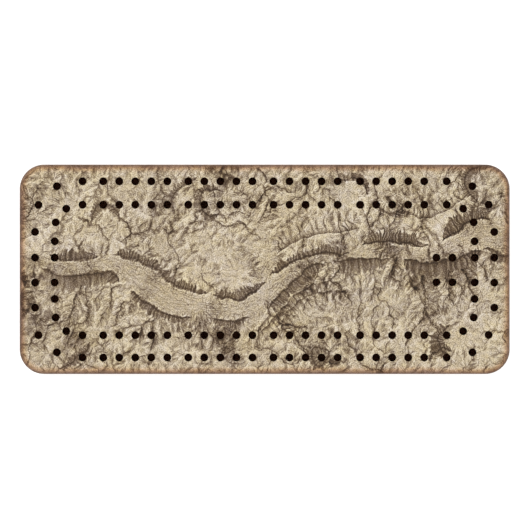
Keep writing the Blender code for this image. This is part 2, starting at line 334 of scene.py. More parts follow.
def lay_cliffs():
    """Cliffs in runs along both banks, then curling scarps in the uplands, each as
    (points, width on the left, width on the right, darkness, whether its rim is inked)."""
    cliffs = []
    for bank in (1.0, -1.0):
        start = -BOARD_X + country.uniform(0, 12)
        while start < BOARD_X:
            run = country.uniform(13, 38)
            xs = np.arange(start, start + run, 4.0)
            slope = bend(xs + 0.5) - bend(xs - 0.5)
            size = np.hypot(1, slope)
            off = bank * (breadth(xs) + 0.5 + 1.3 * country.random_sample(len(xs)))
            wide = country.uniform(2.0, 5.8)
            dark = country.uniform(0.72, 1.0)
            rimmed = country.random_sample() < 0.75
            points = list(zip(xs - off * slope / size, bend(xs) + off / size))
            left, right = (wide, 0.7) if bank > 0 else (0.7, wide)
            cliffs.append((points, left, right, dark, rimmed))
            start += run + country.uniform(1.5, 8)
    for _ in range(11):
        x, y = random_spot(clear=5)
        turn = country.choice([-1, 1]) * country.uniform(0.15, 0.75)
        heading = country.uniform(0, ALL_ROUND)
        steps = country.randint(3, 7)
        points = walk(x, y, heading, steps, stride=4, wander=0.3, turn=turn)
        left, right = country.uniform(0.7, 2.2), country.uniform(1.2, 3.4)
        dark = country.uniform(0.5, 0.95)
        clear = [downhill(*p)[0] > 4.5 for p in points] + [False]
        points = points[: clear.index(False)]  # a scarp ends before it meets the valley
        if len(points) > 2:
            cliffs.append((points, left, right, dark, True))
    return cliffs


def lay_gullies():
    """Gullies running down to the valley, their heads mostly well apart."""
    gullies, heads = [], []
    while len(gullies) < 46:
        x, y = random_spot(clear=7)
        crowded = any(math.hypot(x - head[0], y - head[1]) < 7.5 for head in heads)
        if crowded and country.random_sample() < 0.97:
            continue
        heads.append((x, y))
        points, lean = [(x, y)], 0.0
        for _ in range(country.randint(3, 8)):
            gap, way = downhill(x, y)
            if gap < 2.0:
                break
            lean = 0.5 * lean + 0.55 * country.standard_normal()
            x, y = x + 5 * math.cos(way + lean), y + 5 * math.sin(way + lean)
            points.append((x, y))
        if len(points) > 2:
            gullies.append(points)
    return gullies


def lay_slopes():
    """Soft slopes: (points, reach, darkness)."""
    slopes = []
    for _ in range(37):
        x, y = random_spot(clear=3)
        heading = downhill(x, y)[1] + 0.6 * country.standard_normal()
        points = walk(x, y, heading, country.randint(2, 5), stride=4.5, wander=0.3)
        slopes.append((points, country.uniform(1.6, 5.6), country.uniform(0.25, 0.58)))
    return slopes


def lay_streaks():
    """Strokes of shade in loose groups: (points, width, darkness)."""
    streaks = []
    for _ in range(19):
        x, y = random_spot(clear=3)
        way = downhill(x, y)[1] + 0.5 * country.standard_normal()
        stride, wide = country.uniform(2.5, 4.5), country.uniform(0.5, 1.7)
        for k in range(country.randint(2, 6)):
            gap = 3.2 * k + 0.8 * country.standard_normal()
            start = x - gap * math.sin(way), y + gap * math.cos(way)
            heading = way + 0.15 * country.standard_normal()
            points = walk(*start, heading, steps=3, stride=stride, wander=0.25)
            width = wide * country.uniform(0.6, 1.3)
            streaks.append((points, width, country.uniform(0.38, 0.8)))
    return streaks


def lay_aprons():
    """Aprons of long strokes up from a foot line, uphill on the left of travel:
    (points, height, darkness, pitch of the strokes)."""
    aprons = []
    for bank in (1, -1):
        for _ in range(2):
            for _ in range(60):
                start = country.uniform(-BOARD_X + 5, BOARD_X - 45)
                run, away = country.uniform(20, 42), country.uniform(9, 17)
                xs = np.arange(start, start + run, 5.0)
                points = list(zip(xs, bend(xs) + bank * (breadth(xs) + away)))
                if max(abs(point[1]) for point in points) < BOARD_Y - 8:
                    break
            height, dark = country.uniform(5, 9.5), country.uniform(0.6, 0.9)
            aprons.append((points[::bank], height, dark, country.uniform(1.8, 2.5)))
    return aprons


def lay_pale():
    """Worn pale patches: (points, reach, lightening)."""
    pale = []
    for _ in range(15):
        x, y = random_spot(clear=4)
        heading = country.uniform(0, ALL_ROUND)
        points = walk(x, y, heading, country.randint(2, 5), stride=5, wander=0.35)
        pale.append((points, country.uniform(0.5, 4), country.uniform(0.3, 0.7)))
    return pale


CLIFFS = lay_cliffs()
GULLIES = lay_gullies()
SLOPES = lay_slopes()
STREAKS = lay_streaks()
APRONS = lay_aprons()
PALE = lay_pale()


# ============================================================ pen strokes
# Tones run from 0, bare paper, to about 1, full ink. Lengths are in mm.
def soft(distance, reach):
    return np.exp(-((distance / reach) ** 2) * 1.6)


def splat(x, y, weight):
    """Adds weights at fractional columns x and rows y to a fresh grid."""
    rows, columns = SHAPE
    kept = (x >= 0) & (y >= 0) & (x < columns - 1) & (y < rows - 1)
    x, y, weight = x[kept], y[kept], weight[kept]
    i, j = x.astype(np.int64), y.astype(np.int64)
    right, up = x - i, y - j
    out = np.zeros(rows * columns)
    for dj, di, share in (
        (0, 0, (1 - right) * (1 - up)),
        (0, 1, right * (1 - up)),
        (1, 0, (1 - right) * up),
        (1, 1, right * up),
    ):
        out += np.bincount((j + dj) * columns + i + di, share * weight, rows * columns)
    return out.reshape(SHAPE)


def pen(chance, way_x, way_y, count, length, offset):
    """Short strokes along a direction field, thicker in the middle, started where chance
    is high."""
    rng = np.random.RandomState(SEED + offset)
    total = np.cumsum(chance.ravel())
    start = np.searchsorted(total, rng.random_sample(count) * total[-1])
    y, x = np.divmod(start, SHAPE[1])
    x = x + rng.random_sample(count)
    y = y + rng.random_sample(count)
    own_length = length * np.exp(0.35 * rng.standard_normal(count))
    weight = 0.35 + 1.3 * rng.random_sample(count) ** 2
    stride = 0.14
    xs, ys, weights = [], [], []
    turn = rng.choice([-1.0, 1.0], count)
    last_x, last_y = sample(way_x, x, y) * turn, sample(way_y, x, y) * turn
    for k in range(int(length * 2.2 / stride)):
        live = k * stride < own_length
        if not live.any():
            break
        share = k * stride / own_length
        xs.append(x[live])
        ys.append(y[live])
        weights.append((weight * np.sqrt(np.clip(4 * share * (1 - share), 0, 1)))[live])
        dx, dy = sample(way_x, x, y), sample(way_y, x, y)
        flip = np.where(dx * last_x + dy * last_y < 0, -1.0, 1.0)
        last_x, last_y = dx * flip, dy * flip
        x = x + last_x * stride / STEP
        y = y + last_y * stride / STEP
    strokes = splat(np.concatenate(xs), np.concatenate(ys), np.concatenate(weights))
    return strokes * (stride / STEP)


def comb(along, pitch, offset, sharp):
    """Strokes across a band: 0 in the gaps to 1 in the stroke, uneven in pitch and weight."""
    rng = np.random.RandomState(SEED + offset)
    turns = np.cumsum(np.clip(1 + 0.45 * rng.standard_normal(1200), 0.35, 2))
    cycle = np.interp(along, np.arange(1200) * pitch, turns)
    weight = 0.45 + 0.55 * rng.random_sample(1400)
    wave = (0.5 + 0.5 * np.cos(2 * math.pi * cycle)) ** sharp
    return wave * weight[np.clip((cycle + 0.5).astype(int), 0, 1399)]


def waver(along, extent, pitch, offset):
    """Noise of unit spread along a line, one random value at each pitch."""
    stations = np.arange(0, extent, pitch)
    values = np.random.RandomState(SEED + offset).standard_normal(len(stations))
    return np.interp(along, stations, values)


def turn_pen(way_x, way_y, distance, weight):
    """Turns the pen's directions across a line, by weight."""
    dy, dx = np.gradient(np.minimum(distance, 99), STEP)
    size = np.hypot(dx, dy) + 1e-6
    dx, dy = dx / size, dy / size
    flip = np.where(dx * way_x + dy * way_y < 0, -1.0, 1.0)
    way_x = way_x * (1 - weight) + dx * flip * weight
    return way_x, way_y * (1 - weight) + dy * flip * weight


# ============================================================== the drawing
def valley_distance():
    """Distance of each coarse cell from the valley floor's bank, negative inside."""
    distance = np.full(COARSE_X.shape, 1e9)
    for floor in FLOORS:
        path = curve([point for point, _ in floor])
        halves = np.array([half for _, half in floor])
        shares, knots = np.linspace(0, 1, len(path)), np.linspace(0, 1, len(halves))
        for (x, y), half in zip(path, np.interp(shares, knots, halves)):
            distance = np.minimum(distance, np.hypot(COARSE_X - x, COARSE_Y - y) - half)
    return distance


def wear_relief(bank):
    """The coarse relief, worn by its own streams: its height, and where ink runs in them."""
    flat = (bank + 0.8 * coarse_noise(3, 5, 0.5)) < 0
    margin = np.minimum(BOARD_X + 4 - np.abs(COARSE_X), BOARD_Y + 4 - np.abs(COARSE_Y))
    z = 1.6 * coarse_noise(2, 16, 0.8, 1.1)
    z = z + 0.55 * np.minimum(np.clip(bank, 0, 40), margin) + 3
    for points in GULLIES:
        distance = near(points, COARSE_X, COARSE_Y, reach=4)[0]
        z -= 2.2 * np.exp(-((distance / 1.0) ** 2))
    z[flat] = 0
    border = np.zeros(z.shape, bool)
    border[0] = border[-1] = True
    border[:, 0] = border[:, -1] = True
    z, water, downstream = erode(z, flat | border, rise=0.22, cell=CELL, rounds=30)
    return z, stream_ink(water.ravel(), downstream, flat.ravel())


def stream_ink(water, downstream, flat):
    """Lines from cell to cell down the streams, thicker where more water runs."""
    rng = np.random.RandomState(SEED + 20)
    x = COARSE_X.ravel() + 0.34 * CELL * rng.standard_normal(water.size)
    y = COARSE_Y.ravel() + 0.34 * CELL * rng.standard_normal(water.size)
    wet = np.where((water > 3.0) & (downstream != np.arange(water.size)) & ~flat)[0]
    share = np.linspace(0, 1, 9)[None, :]
    line_x, line_y = (
        v[wet][:, None] * (1 - share) + v[downstream[wet]][:, None] * share for v in (x, y)
    )
    thick = np.clip((np.log(water[wet]) - 0.9) / 2.4, 0.08, 1)[:, None] ** 1.3
    thick = np.repeat(thick, 9, 1)
    columns = ((line_x + BOARD_X) / STEP).ravel()
    ink = 0.5 * splat(columns, ((line_y + BOARD_Y) / STEP).ravel(), thick.ravel())
    return 1 - np.exp(-blur(ink, 0.5))


def draw_slopes(way_x, way_y):
    """Soft shade on the slopes, strokes across them, and the pen's turned directions."""
    shade, strokes = np.zeros(SHAPE), np.zeros(SHAPE)
    for n, (points, reach, dark) in enumerate(SLOPES):
        distance, _, along, _ = trace(points, reach * 1.8, sway=1.0)
        mask = dark * soft(distance, reach)
        way_x, way_y = turn_pen(way_x, way_y, distance, np.clip(mask * 1.6, 0, 1))
        shade = np.maximum(shade, mask)
        teeth = comb(along + 0.25 * WOBBLE_X, pitch=1.8, offset=70 + n, sharp=2.6)
        strokes = np.maximum(strokes, (0.30 + 0.70 * dark) * soft(distance, reach) * teeth)
    return shade, strokes, way_x, way_y


def draw_streaks():
    blot = np.clip(0.85 + 0.25 * noise(33, 5, 1), 0.3, 1.25)
    streaks = np.zeros(SHAPE)
    for points, width, dark in STREAKS:
        distance = trace(points, width * 2.4, sway=0.8, wobble=0.3)[0]
        streaks = np.maximum(streaks, dark * blot * np.exp(-((distance / width) ** 2)))
    return streaks


def draw_aprons():
    """The aprons' long strokes, and where they keep the fine pen away."""
    aprons, calm = np.zeros(SHAPE), np.zeros(SHAPE)
    for n, (points, height, dark, pitch) in enumerate(APRONS):
        distance, side, along, length = trace(points, height + 1, sway=0.5)
        tall = height * (0.8 + 0.2 * waver(along, extent=200, pitch=1.3, offset=300 + n))
        ends = np.clip(np.minimum(along, length - along) / 1.5 + 0.3, 0, 1)
        share = distance / np.maximum(tall * ends, 0.5)
        mask = (side > 0) * np.clip((1.05 - share) / 0.35, 0, 1)
        strokes = comb(along + 0.4 * SWAY_X, pitch, offset=320 + n, sharp=3.2)
        fringe = comb(along + 0.2 * WOBBLE_X, pitch=0.9, offset=340 + n, sharp=1.5)
        fringe = np.exp(-((share / 0.24) ** 2)) * (0.55 + 0.45 * fringe)
        ink = dark * mask * np.maximum(strokes * (1 - 0.3 * share), fringe)
        aprons = np.maximum(aprons, ink)
        calm = np.maximum(calm, 0.75 * mask)
    return aprons, calm


def draw_cliffs(way_x, way_y):
    """The cliffs' bands, the teeth in them, their inked rims, and the pen's directions."""
    bands, teeth, rims = np.zeros((3, *SHAPE))
    for n, (points, left, right, dark, rimmed) in enumerate(CLIFFS):
        widest = max(left, right)
        distance, side, along, length = trace(points, widest * 1.5 + 2, sway=0.6, wobble=0.25)
        ends = np.clip(np.minimum(along, length - along) / 5 + 0.1, 0, 1) ** 0.8
        width = np.where(side > 0, left, right) * ends
        pitch = 1.2 if widest < 4.3 else 2.0
        tooth = comb(along + 0.2 * WOBBLE_Y, pitch, offset=40 + n, sharp=0.8)
        ragged = 0.85 + 0.16 * waver(along, extent=400, pitch=0.6, offset=40 + n)
        share = distance / (width * np.clip(ragged + 0.35 * tooth, 0.55, 1.6))
        fade = np.where((width > 4.5) & (dark < 0.82), 0.55, 0.05)
        mask = dark * np.clip((1.12 - share) / 0.22, 0, 1) * (1 - fade * np.clip(share, 0, 1))
        way_x, way_y = turn_pen(way_x, way_y, distance, np.clip(mask * 2, 0, 1))
        bands = np.maximum(bands, mask)
        tooth = np.clip(1.15 * tooth + 0.7 * np.exp(-((share / 0.25) ** 2)), 0, 1.15)
        teeth = np.maximum(teeth, mask * tooth)
        if rimmed:
            rims = np.maximum(rims, dark * np.exp(-((distance / 0.32) ** 2)))
    return bands, teeth, rims, way_x, way_y


def draw_gullies():
    """The gullies' barbed sides and their lines, shaded on the right of travel."""
    lines, barbs = np.zeros(SHAPE), np.zeros(SHAPE)
    patchy = np.clip(0.75 + 0.5 * noise(32, 9, 2), 0, 1.3)
    for n, points in enumerate(GULLIES):
        distance, side, along, _ = trace(points, 4, sway=0.9, wobble=0.35)
        taper = 0.8 + 0.2 * np.sin(along * 1.3)
        slanted = along - 1.1 * distance + 0.2 * WOBBLE_X + 0.9 * (side > 0)
        feather = patchy * comb(slanted, pitch=1.1, offset=200 + n, sharp=3.0)
        feather = feather * np.exp(-((distance / 2.3) ** 2)) * (1 - 0.35 * (side > 0))
        barbs = np.maximum(barbs, feather)
        shadow = 0.42 * np.exp(-((distance / 1.1) ** 2)) * (side < 0)
        lines = np.maximum(lines, (np.exp(-((distance / 0.25) ** 2)) + shadow) * taper)
    return barbs, lines


def ground_tone(height, steepness, lit, inside):
    """Pale ground, softly shaded by the relief, and the paler valley floor."""
    tone = 0.08 * np.clip(steepness / 2.2, 0, 1.2) + 0.14 * np.clip(lit / 1.6, -0.7, 1.3)
    tone += 0.055 * noise(5, 26, 3, 0.8)
    tone = tone * (1 - inside) + (0.02 + 0.03 * noise(8, 5, 1.2, 0.5)) * inside
    smooth = blur(height, 2.4)
    hollow = sum(np.gradient(np.gradient(smooth, STEP, axis=k), STEP, axis=k) for k in (0, 1))
    return tone + 0.11 * np.clip(hollow / hollow.std(), -1.2, 2.6) * (1 - inside)


def valley_tone(bank, inside):
    """The flat valley: strokes along it, broken lines inside its banks, and stipple."""
    across_y, across_x = np.gradient(refine(bank, wobble=2), STEP)
    size = np.hypot(across_y, across_x) + 1e-3
    way_x = 0.35 + 0.8 * np.abs(across_y) / size
    way_y = -0.8 * across_x * np.sign(across_y + 1e-9) / size
    flow = pen(inside + 1e-6, way_x, way_y, count=2600, length=2.4, offset=24)
    tone = 0.26 * inside * (1 - np.exp(-1.2 * flow))
    shore = refine(bank, wobble=0)
    for n, off in enumerate((0.5, 1.3, 2.1, 3.0, 3.9)):
        broken = np.clip(0.5 + 0.9 * noise(50 + n, 11, 3), 0, 1)
        line = np.exp(-(((shore + off + 0.35 * WOBBLE_X) / 0.13) ** 2))
        tone += 0.42 * inside * broken * line
    return tone + 0.22 * inside * np.clip(noise(60, 1.2, 0.4, -0.4) - 1.1, 0, 1.6)


def draw():
    """The map's grey levels over the board's whole outline."""
    bank = valley_distance()
    coarse_height, streams = wear_relief(bank)
    height = blur(refine(blur(coarse_height, 0.5), wobble=1), 1.2)
    inside = np.clip(0.5 - refine(bank, wobble=0) / 1.2 + 0.3 * noise(4, 3, 0.4), 0, 1)
    slope_y, slope_x = np.gradient(height, STEP)
    steepness = np.hypot(slope_x, slope_y)
    lit = slope_x * 0.75 - slope_y * 0.65

    # the pen follows the broad slope, but crosses drawn slopes and cliffs
    way_y, way_x = np.gradient(blur(height, 5), STEP)
    size = np.hypot(way_x, way_y)
    way_x, way_y = way_x / (size + 0.03), way_y / (size + 0.03)
    shade, strokes, way_x, way_y = draw_slopes(way_x, way_y)
    streaks = draw_streaks()
    aprons, calm = draw_aprons()
    bands, teeth, rims, way_x, way_y = draw_cliffs(way_x, way_y)
    size = np.hypot(way_x, way_y) + 1e-3
    way = way_x / size, way_y / size
    barbs, gully_lines = draw_gullies()

    # hachures
    hatch = 0.25 + 0.75 * np.clip(steepness / 2, 0, 1)
    chance = hatch * (1 - 0.8 * inside) * (1 - calm)
    chance = chance * (0.22 + np.clip(lit / 1.2, 0, 1.2) + shade + 0.8 * streaks)
    fine = 1 - np.exp(-1.4 * pen(chance, *way, count=24000, length=1.2, offset=21))
    bold = pen(shade + 0.05 * hatch, *way, count=4200, length=2.0, offset=22)
    deep = pen(bands + 1e-6, *way, count=7000, length=1.3, offset=23)

    # the layers' weights, from the paper up
    tone = ground_tone(height, steepness, lit, inside)
    tone += 0.28 * shade + 0.55 * strokes + 1.0 * streaks + 1.35 * aprons
    tone += 0.44 * barbs + 0.50 * fine + 0.42 * (1 - np.exp(-1.3 * bold))
    tone += 0.52 * streams + 0.72 * gully_lines
    cover = np.clip(bands * 1.6, 0, 1)
    cliff = 0.62 + 0.68 * teeth + 0.25 * (1 - np.exp(-1.2 * deep))
    tone = tone * (1 - cover) + cover * cliff + 0.40 * rims
    tone += valley_tone(bank, inside)
    for points, reach, light in PALE:
        patch = light * soft(trace(points, reach * 2.5, wobble=0.8)[0], reach)
        tone = tone * (1 - patch) + 0.02 * patch
    # the grain of a worn plate
    tone += GRAIN * noise(9, 1.1, 0.3, -0.3) + 1.3 * GRAIN * noise(10, 0.7, 0.25, -0.8)
    # the plate is cut a little harder than the print shows
    tone += 0.9 * (tone - blur(tone, 1.9))
    return grey_of(tone)


GRAIN = 0.135
# an aged engraving's tones: percent of the area, darkest first, and the grey reached, 0 to 255
GREY = (
    (0, 22), (1, 31), (5, 53), (10, 71), (25, 107),
    (50, 150), (75, 198), (90, 235), (99, 247), (100, 248),
)


def grey_of(tone):
    """Spreads the tones so that their shares match GREY."""
    order = np.argsort(tone, axis=None)
    share = np.empty(tone.size)
    share[order] = np.linspace(100, 0, tone.size)
    percent, grey = np.array(GREY, float).T
    return np.interp(share, percent, grey).reshape(tone.shape)


# ================================================================ materials
GAIN = 1.04  # the stage's light on a level white surface, undone in printed colours


def linear(*rgb):
    """A screen colour, 0 to 255, as linear light."""
    shares = [level / 255 for level in rgb]
    return [s / 12.92 if s <= 0.04045 else ((s + 0.055) / 1.055) ** 2.4 for s in shares]


def screen(*rgb):
    """The colour of a surface that shows as this screen colour in the stage's light."""
    return [level / GAIN for level in linear(*rgb)]


class Nodes:
    """Builds shader nodes in a node tree."""

    def __init__(self, tree):
        self.tree = tree

    def put(self, target, value):
        if isinstance(value, bpy.types.NodeSocket):
            self.tree.links.new(value, target)
        elif target.type == "RGBA":
            target.default_value = (*value, 1.0)
        else:
            target.default_value = value

    def node(self, kind, inputs={}, **settings):
        made = self.tree.nodes.new(kind)
        for key, value in settings.items():
            setattr(made, key, value)
        for key, value in inputs.items():
            self.put(made.inputs[key], value)
        return made

    def coords(self, scale, shift):
        """Object coordinates; scale is a number or one for each axis."""
        scale = scale if isinstance(scale, tuple) else (scale,) * 3
        place = self.node("ShaderNodeTexCoord").outputs["Object"]
        inputs = {"Vector": place, "Scale": scale, "Location": shift}
        return self.node("ShaderNodeMapping", inputs).outputs["Vector"]

    def noise(self, scale, detail, rough, shift=(0, 0, 0), distortion=0.0):
        inputs = {"Vector": self.coords(scale, shift), "Scale": 1.0, "Detail": detail}
        inputs.update({"Roughness": rough, "Distortion": distortion})
        return self.node("ShaderNodeTexNoise", inputs).outputs["Fac"]

    def ramp(self, value, stops, interpolation="LINEAR"):
        """A colour ramp over (position, colour) stops."""
        made = self.node("ShaderNodeValToRGB", {"Fac": value})
        made.color_ramp.interpolation = interpolation
        elements = made.color_ramp.elements
        while len(elements) < len(stops):
            elements.new(0.5)
        for element, (position, colour) in zip(elements, stops):
            element.position = position
            element.color = (*colour, 1.0)
        return made.outputs["Color"]

    def mix(self, amount, first, second, blend="MIX"):
        inputs = {0: amount, 6: first, 7: second}
        made = self.node("ShaderNodeMix", inputs, data_type="RGBA", blend_type=blend)
        return made.outputs[2]

    def tint(self, colour, amount, by):
        """Multiplies colour by another, by amount."""
        return self.mix(amount, colour, self.mix(1.0, colour, by, "MULTIPLY"))

    def math(self, operation, *values, clamp=False):
        inputs = dict(enumerate(values))
        made = self.node("ShaderNodeMath", inputs, operation=operation, use_clamp=clamp)
        return made.outputs[0]

    def scaled(self, value, factor):
        return self.math("MULTIPLY", value, factor)

    def weigh(self, first, first_weight, second, second_weight):
        first = self.scaled(first, first_weight)
        return self.math("ADD", first, self.scaled(second, second_weight))

    def vary(self, value, noise, width):
        """Adds noise to value, spread over width and centred on it."""
        return self.math("ADD", value, self.math("MULTIPLY_ADD", noise, width, -width / 2))

    def span(self, value, low, high, to=(0.0, 1.0)):
        """Maps low to high onto the two ends of to, clamped."""
        inputs = {"Value": value, "From Min": low, "From Max": high}
        inputs.update({"To Min": to[0], "To Max": to[1]})
        return self.node("ShaderNodeMapRange", inputs, clamp=True).outputs["Result"]

    def attribute(self, name):
        return self.node("ShaderNodeAttribute", attribute_name=name).outputs["Fac"]


class Material(Nodes):
    """A material around its principled shader."""

    def __init__(self, name):
        self.made = bpy.data.materials.new(name)
        self.made.use_nodes = True
        super().__init__(self.made.node_tree)
        self.shader = self.tree.nodes["Principled BSDF"]

    def bump(self, height, strength, distance):
        inputs = {"Strength": strength, "Distance": distance, "Height": height}
        made = self.node("ShaderNodeBump", inputs)
        self.put(self.shader.inputs["Normal"], made.outputs["Normal"])

    def finish(self, colour, rough, metallic=0.0, specular=0.5):
        self.put(self.shader.inputs["Base Color"], colour)
        self.put(self.shader.inputs["Roughness"], rough)
        self.put(self.shader.inputs["Metallic"], metallic)
        self.put(self.shader.inputs["Specular IOR Level"], specular)
        return self.made


# the print's screen colours, dark to light, between its darkest and its palest
INKS = (
    (90, 71, 53), (110, 90, 71), (130, 111, 90), (150, 131, 108),
    (169, 152, 127), (189, 172, 145), (209, 192, 163), (224, 207, 178),
)
INK_GREY, INK_RANGE = 20, 230  # the grey at ink 0, and from there to ink 1


def ink_stops():
    """The print's own colours for ink values 0 to 1."""
    inks = [(INK_GREY, (28, 20, 12))] + [(sum(rgb) / 3, rgb) for rgb in INKS]
    inks.append((INK_GREY + INK_RANGE, (255, 246, 224)))
    return [((grey - INK_GREY) / INK_RANGE, screen(*rgb)) for grey, rgb in inks]


def smudged(mat, colour, amount):
    """Dark handling smudges, at the same places on the plank's edge and on the sheet's."""
    smudge = mat.noise(95, detail=6.0, rough=0.68, shift=(2, 9, 4))
    where = mat.span(smudge, low=0.50, high=0.66)
    amount = mat.math("MULTIPLY", amount, where, clamp=True)
    return mat.tint(colour, amount, by=(0.66, 0.56, 0.50))


# how the brown stain, and painted shade darkest at the outline where the edge rounds over,
# multiply the print's colour, by the depth attribute
DEPTH_UNIT = 5  # mm inside the board's outline at depth 1
EDGE_STAIN_AND_SHADE = [
    (0.00, (0.37, 0.26, 0.24)),
    (0.11, (0.51, 0.385, 0.365)),
    (0.20, (0.63, 0.47, 0.41)),
    (0.28, (0.76, 0.58, 0.48)),
    (0.36, (0.85, 0.70, 0.57)),
    (0.45, (0.94, 0.83, 0.75)),
    (0.56, (0.99, 0.95, 0.91)),
    (0.80, (1.00, 1.00, 1.00)),
]
# the paper's tint drifts between warm and cool: noise scale, noise shift, strength
PAPER_DRIFTS = ((55, (5, 2, 8), 0.065), (190, (8, 5, 2), 0.065), (620, (2, 8, 5), 0.10))


def map_material():
    mat = Material("aged_map_print")
    ink = mat.attribute("ink")
    fibre = mat.noise((900, 2600, 900), detail=3.0, rough=0.6)
    speck = mat.noise(3200, detail=2.0, rough=0.5)
    value = mat.vary(ink, fibre, width=0.06)
    value = mat.vary(value, speck, width=0.06)
    # the print is rubbed to a middle tone near the outline
    rub = mat.span(mat.attribute("depth"), low=0.06, high=0.34, to=(0.62, 0.0))
    value = mat.weigh(value, mat.math("SUBTRACT", 1.0, rub), rub, 0.58)
    colour = mat.ramp(value, ink_stops())
    # foxing: faint warm and cool stains in the paper
    foxing = mat.noise(60, detail=5.0, rough=0.62, distortion=0.6)
    warm = mat.span(foxing, low=0.42, high=0.72)
    colour = mat.tint(colour, mat.scaled(warm, 0.18), by=(1.0, 0.90, 0.74))
    cool = mat.noise(75, detail=4.0, rough=0.6, shift=(3, 1, 2))
    cool = mat.span(cool, low=0.45, high=0.75)
    colour = mat.tint(colour, mat.scaled(cool, 0.35), by=(0.96, 0.97, 1.06))
    for scale, shift, reach in PAPER_DRIFTS:
        drift = mat.noise(scale, detail=3.0, rough=0.6, shift=shift)
        drift = mat.span(drift, low=0.32, high=0.68)
        warmer = mat.mix(1.0, colour, (1.0, 1 - 0.15 * reach, 1 - reach), "MULTIPLY")
        cooler = mat.mix(1.0, colour, (1.0, 1 + 0.15 * reach, 1 + reach), "MULTIPLY")
        colour = mat.mix(drift, warmer, cooler)
    # brown stain towards the outline, with painted shade darkest at the outline where the edge
    # rounds over
    depth = mat.attribute("depth")
    ragged = mat.noise(230, detail=6.0, rough=0.70, shift=(1, 7, 3))
    broad = mat.noise(55, detail=3.0, rough=0.55, shift=(6, 1, 4))
    stain_and_shade = mat.vary(mat.vary(depth, ragged, width=0.30), broad, width=0.36)
    colour = mat.mix(1.0, colour, mat.ramp(stain_and_shade, EDGE_STAIN_AND_SHADE), "MULTIPLY")
    colour = smudged(mat, colour, mat.span(depth, low=0.10, high=0.55, to=(0.9, 0.0)))
    rough = mat.span(speck, low=0.2, high=0.8, to=(0.52, 0.68))
    mat.bump(mat.weigh(fibre, 0.7, ink, 0.3), strength=0.10, distance=0.00006)
    return mat.finish(colour, rough, specular=0.22)


# stained wood by its grain, raw wood by its grain, and the worn edge with its painted shade by
# depth into it
STAINED = [
    (0.22, linear(104, 72, 48)),
    (0.42, linear(132, 95, 65)),
    (0.60, linear(156, 117, 82)),
    (0.80, linear(176, 138, 100)),
]
RAW = [
    (0.25, linear(176, 138, 98)),
    (0.55, linear(201, 166, 124)),
    (0.85, linear(216, 184, 142)),
]
RAW_PORES = linear(120, 84, 54)
WORN_AND_SHADED_EDGE = [
    (0.00, screen(104, 78, 62)),
    (0.22, screen(132, 100, 76)),
    (0.50, screen(152, 117, 86)),
    (0.80, screen(174, 141, 106)),
    (1.00, screen(192, 166, 130)),
]
# the peg holes' walls, near black as painted shade deep in the holes, and their redder floors
BORE_WALL_SHADE = [(0.3, (0.016, 0.007, 0.004)), (0.7, (0.030, 0.012, 0.007))]
BORE_FLOOR = [(0.3, (0.30, 0.085, 0.03)), (0.7, (0.50, 0.15, 0.06))]


def growth_rings(mat):
    """Rings round an axis along X below the plank."""
    inputs = {
        "Vector": mat.coords((0.22, 1.0, 1.0), (0.0, 0.016, 0.022)),
        "Scale": 80.0,
        "Distortion": 4.2,
        "Detail": 3.0,
        "Detail Scale": 0.9,
        "Detail Roughness": 0.55,
    }
    settings = {"wave_type": "RINGS", "rings_direction": "X", "wave_profile": "SAW"}
    return mat.node("ShaderNodeTexWave", inputs, **settings).outputs["Fac"]


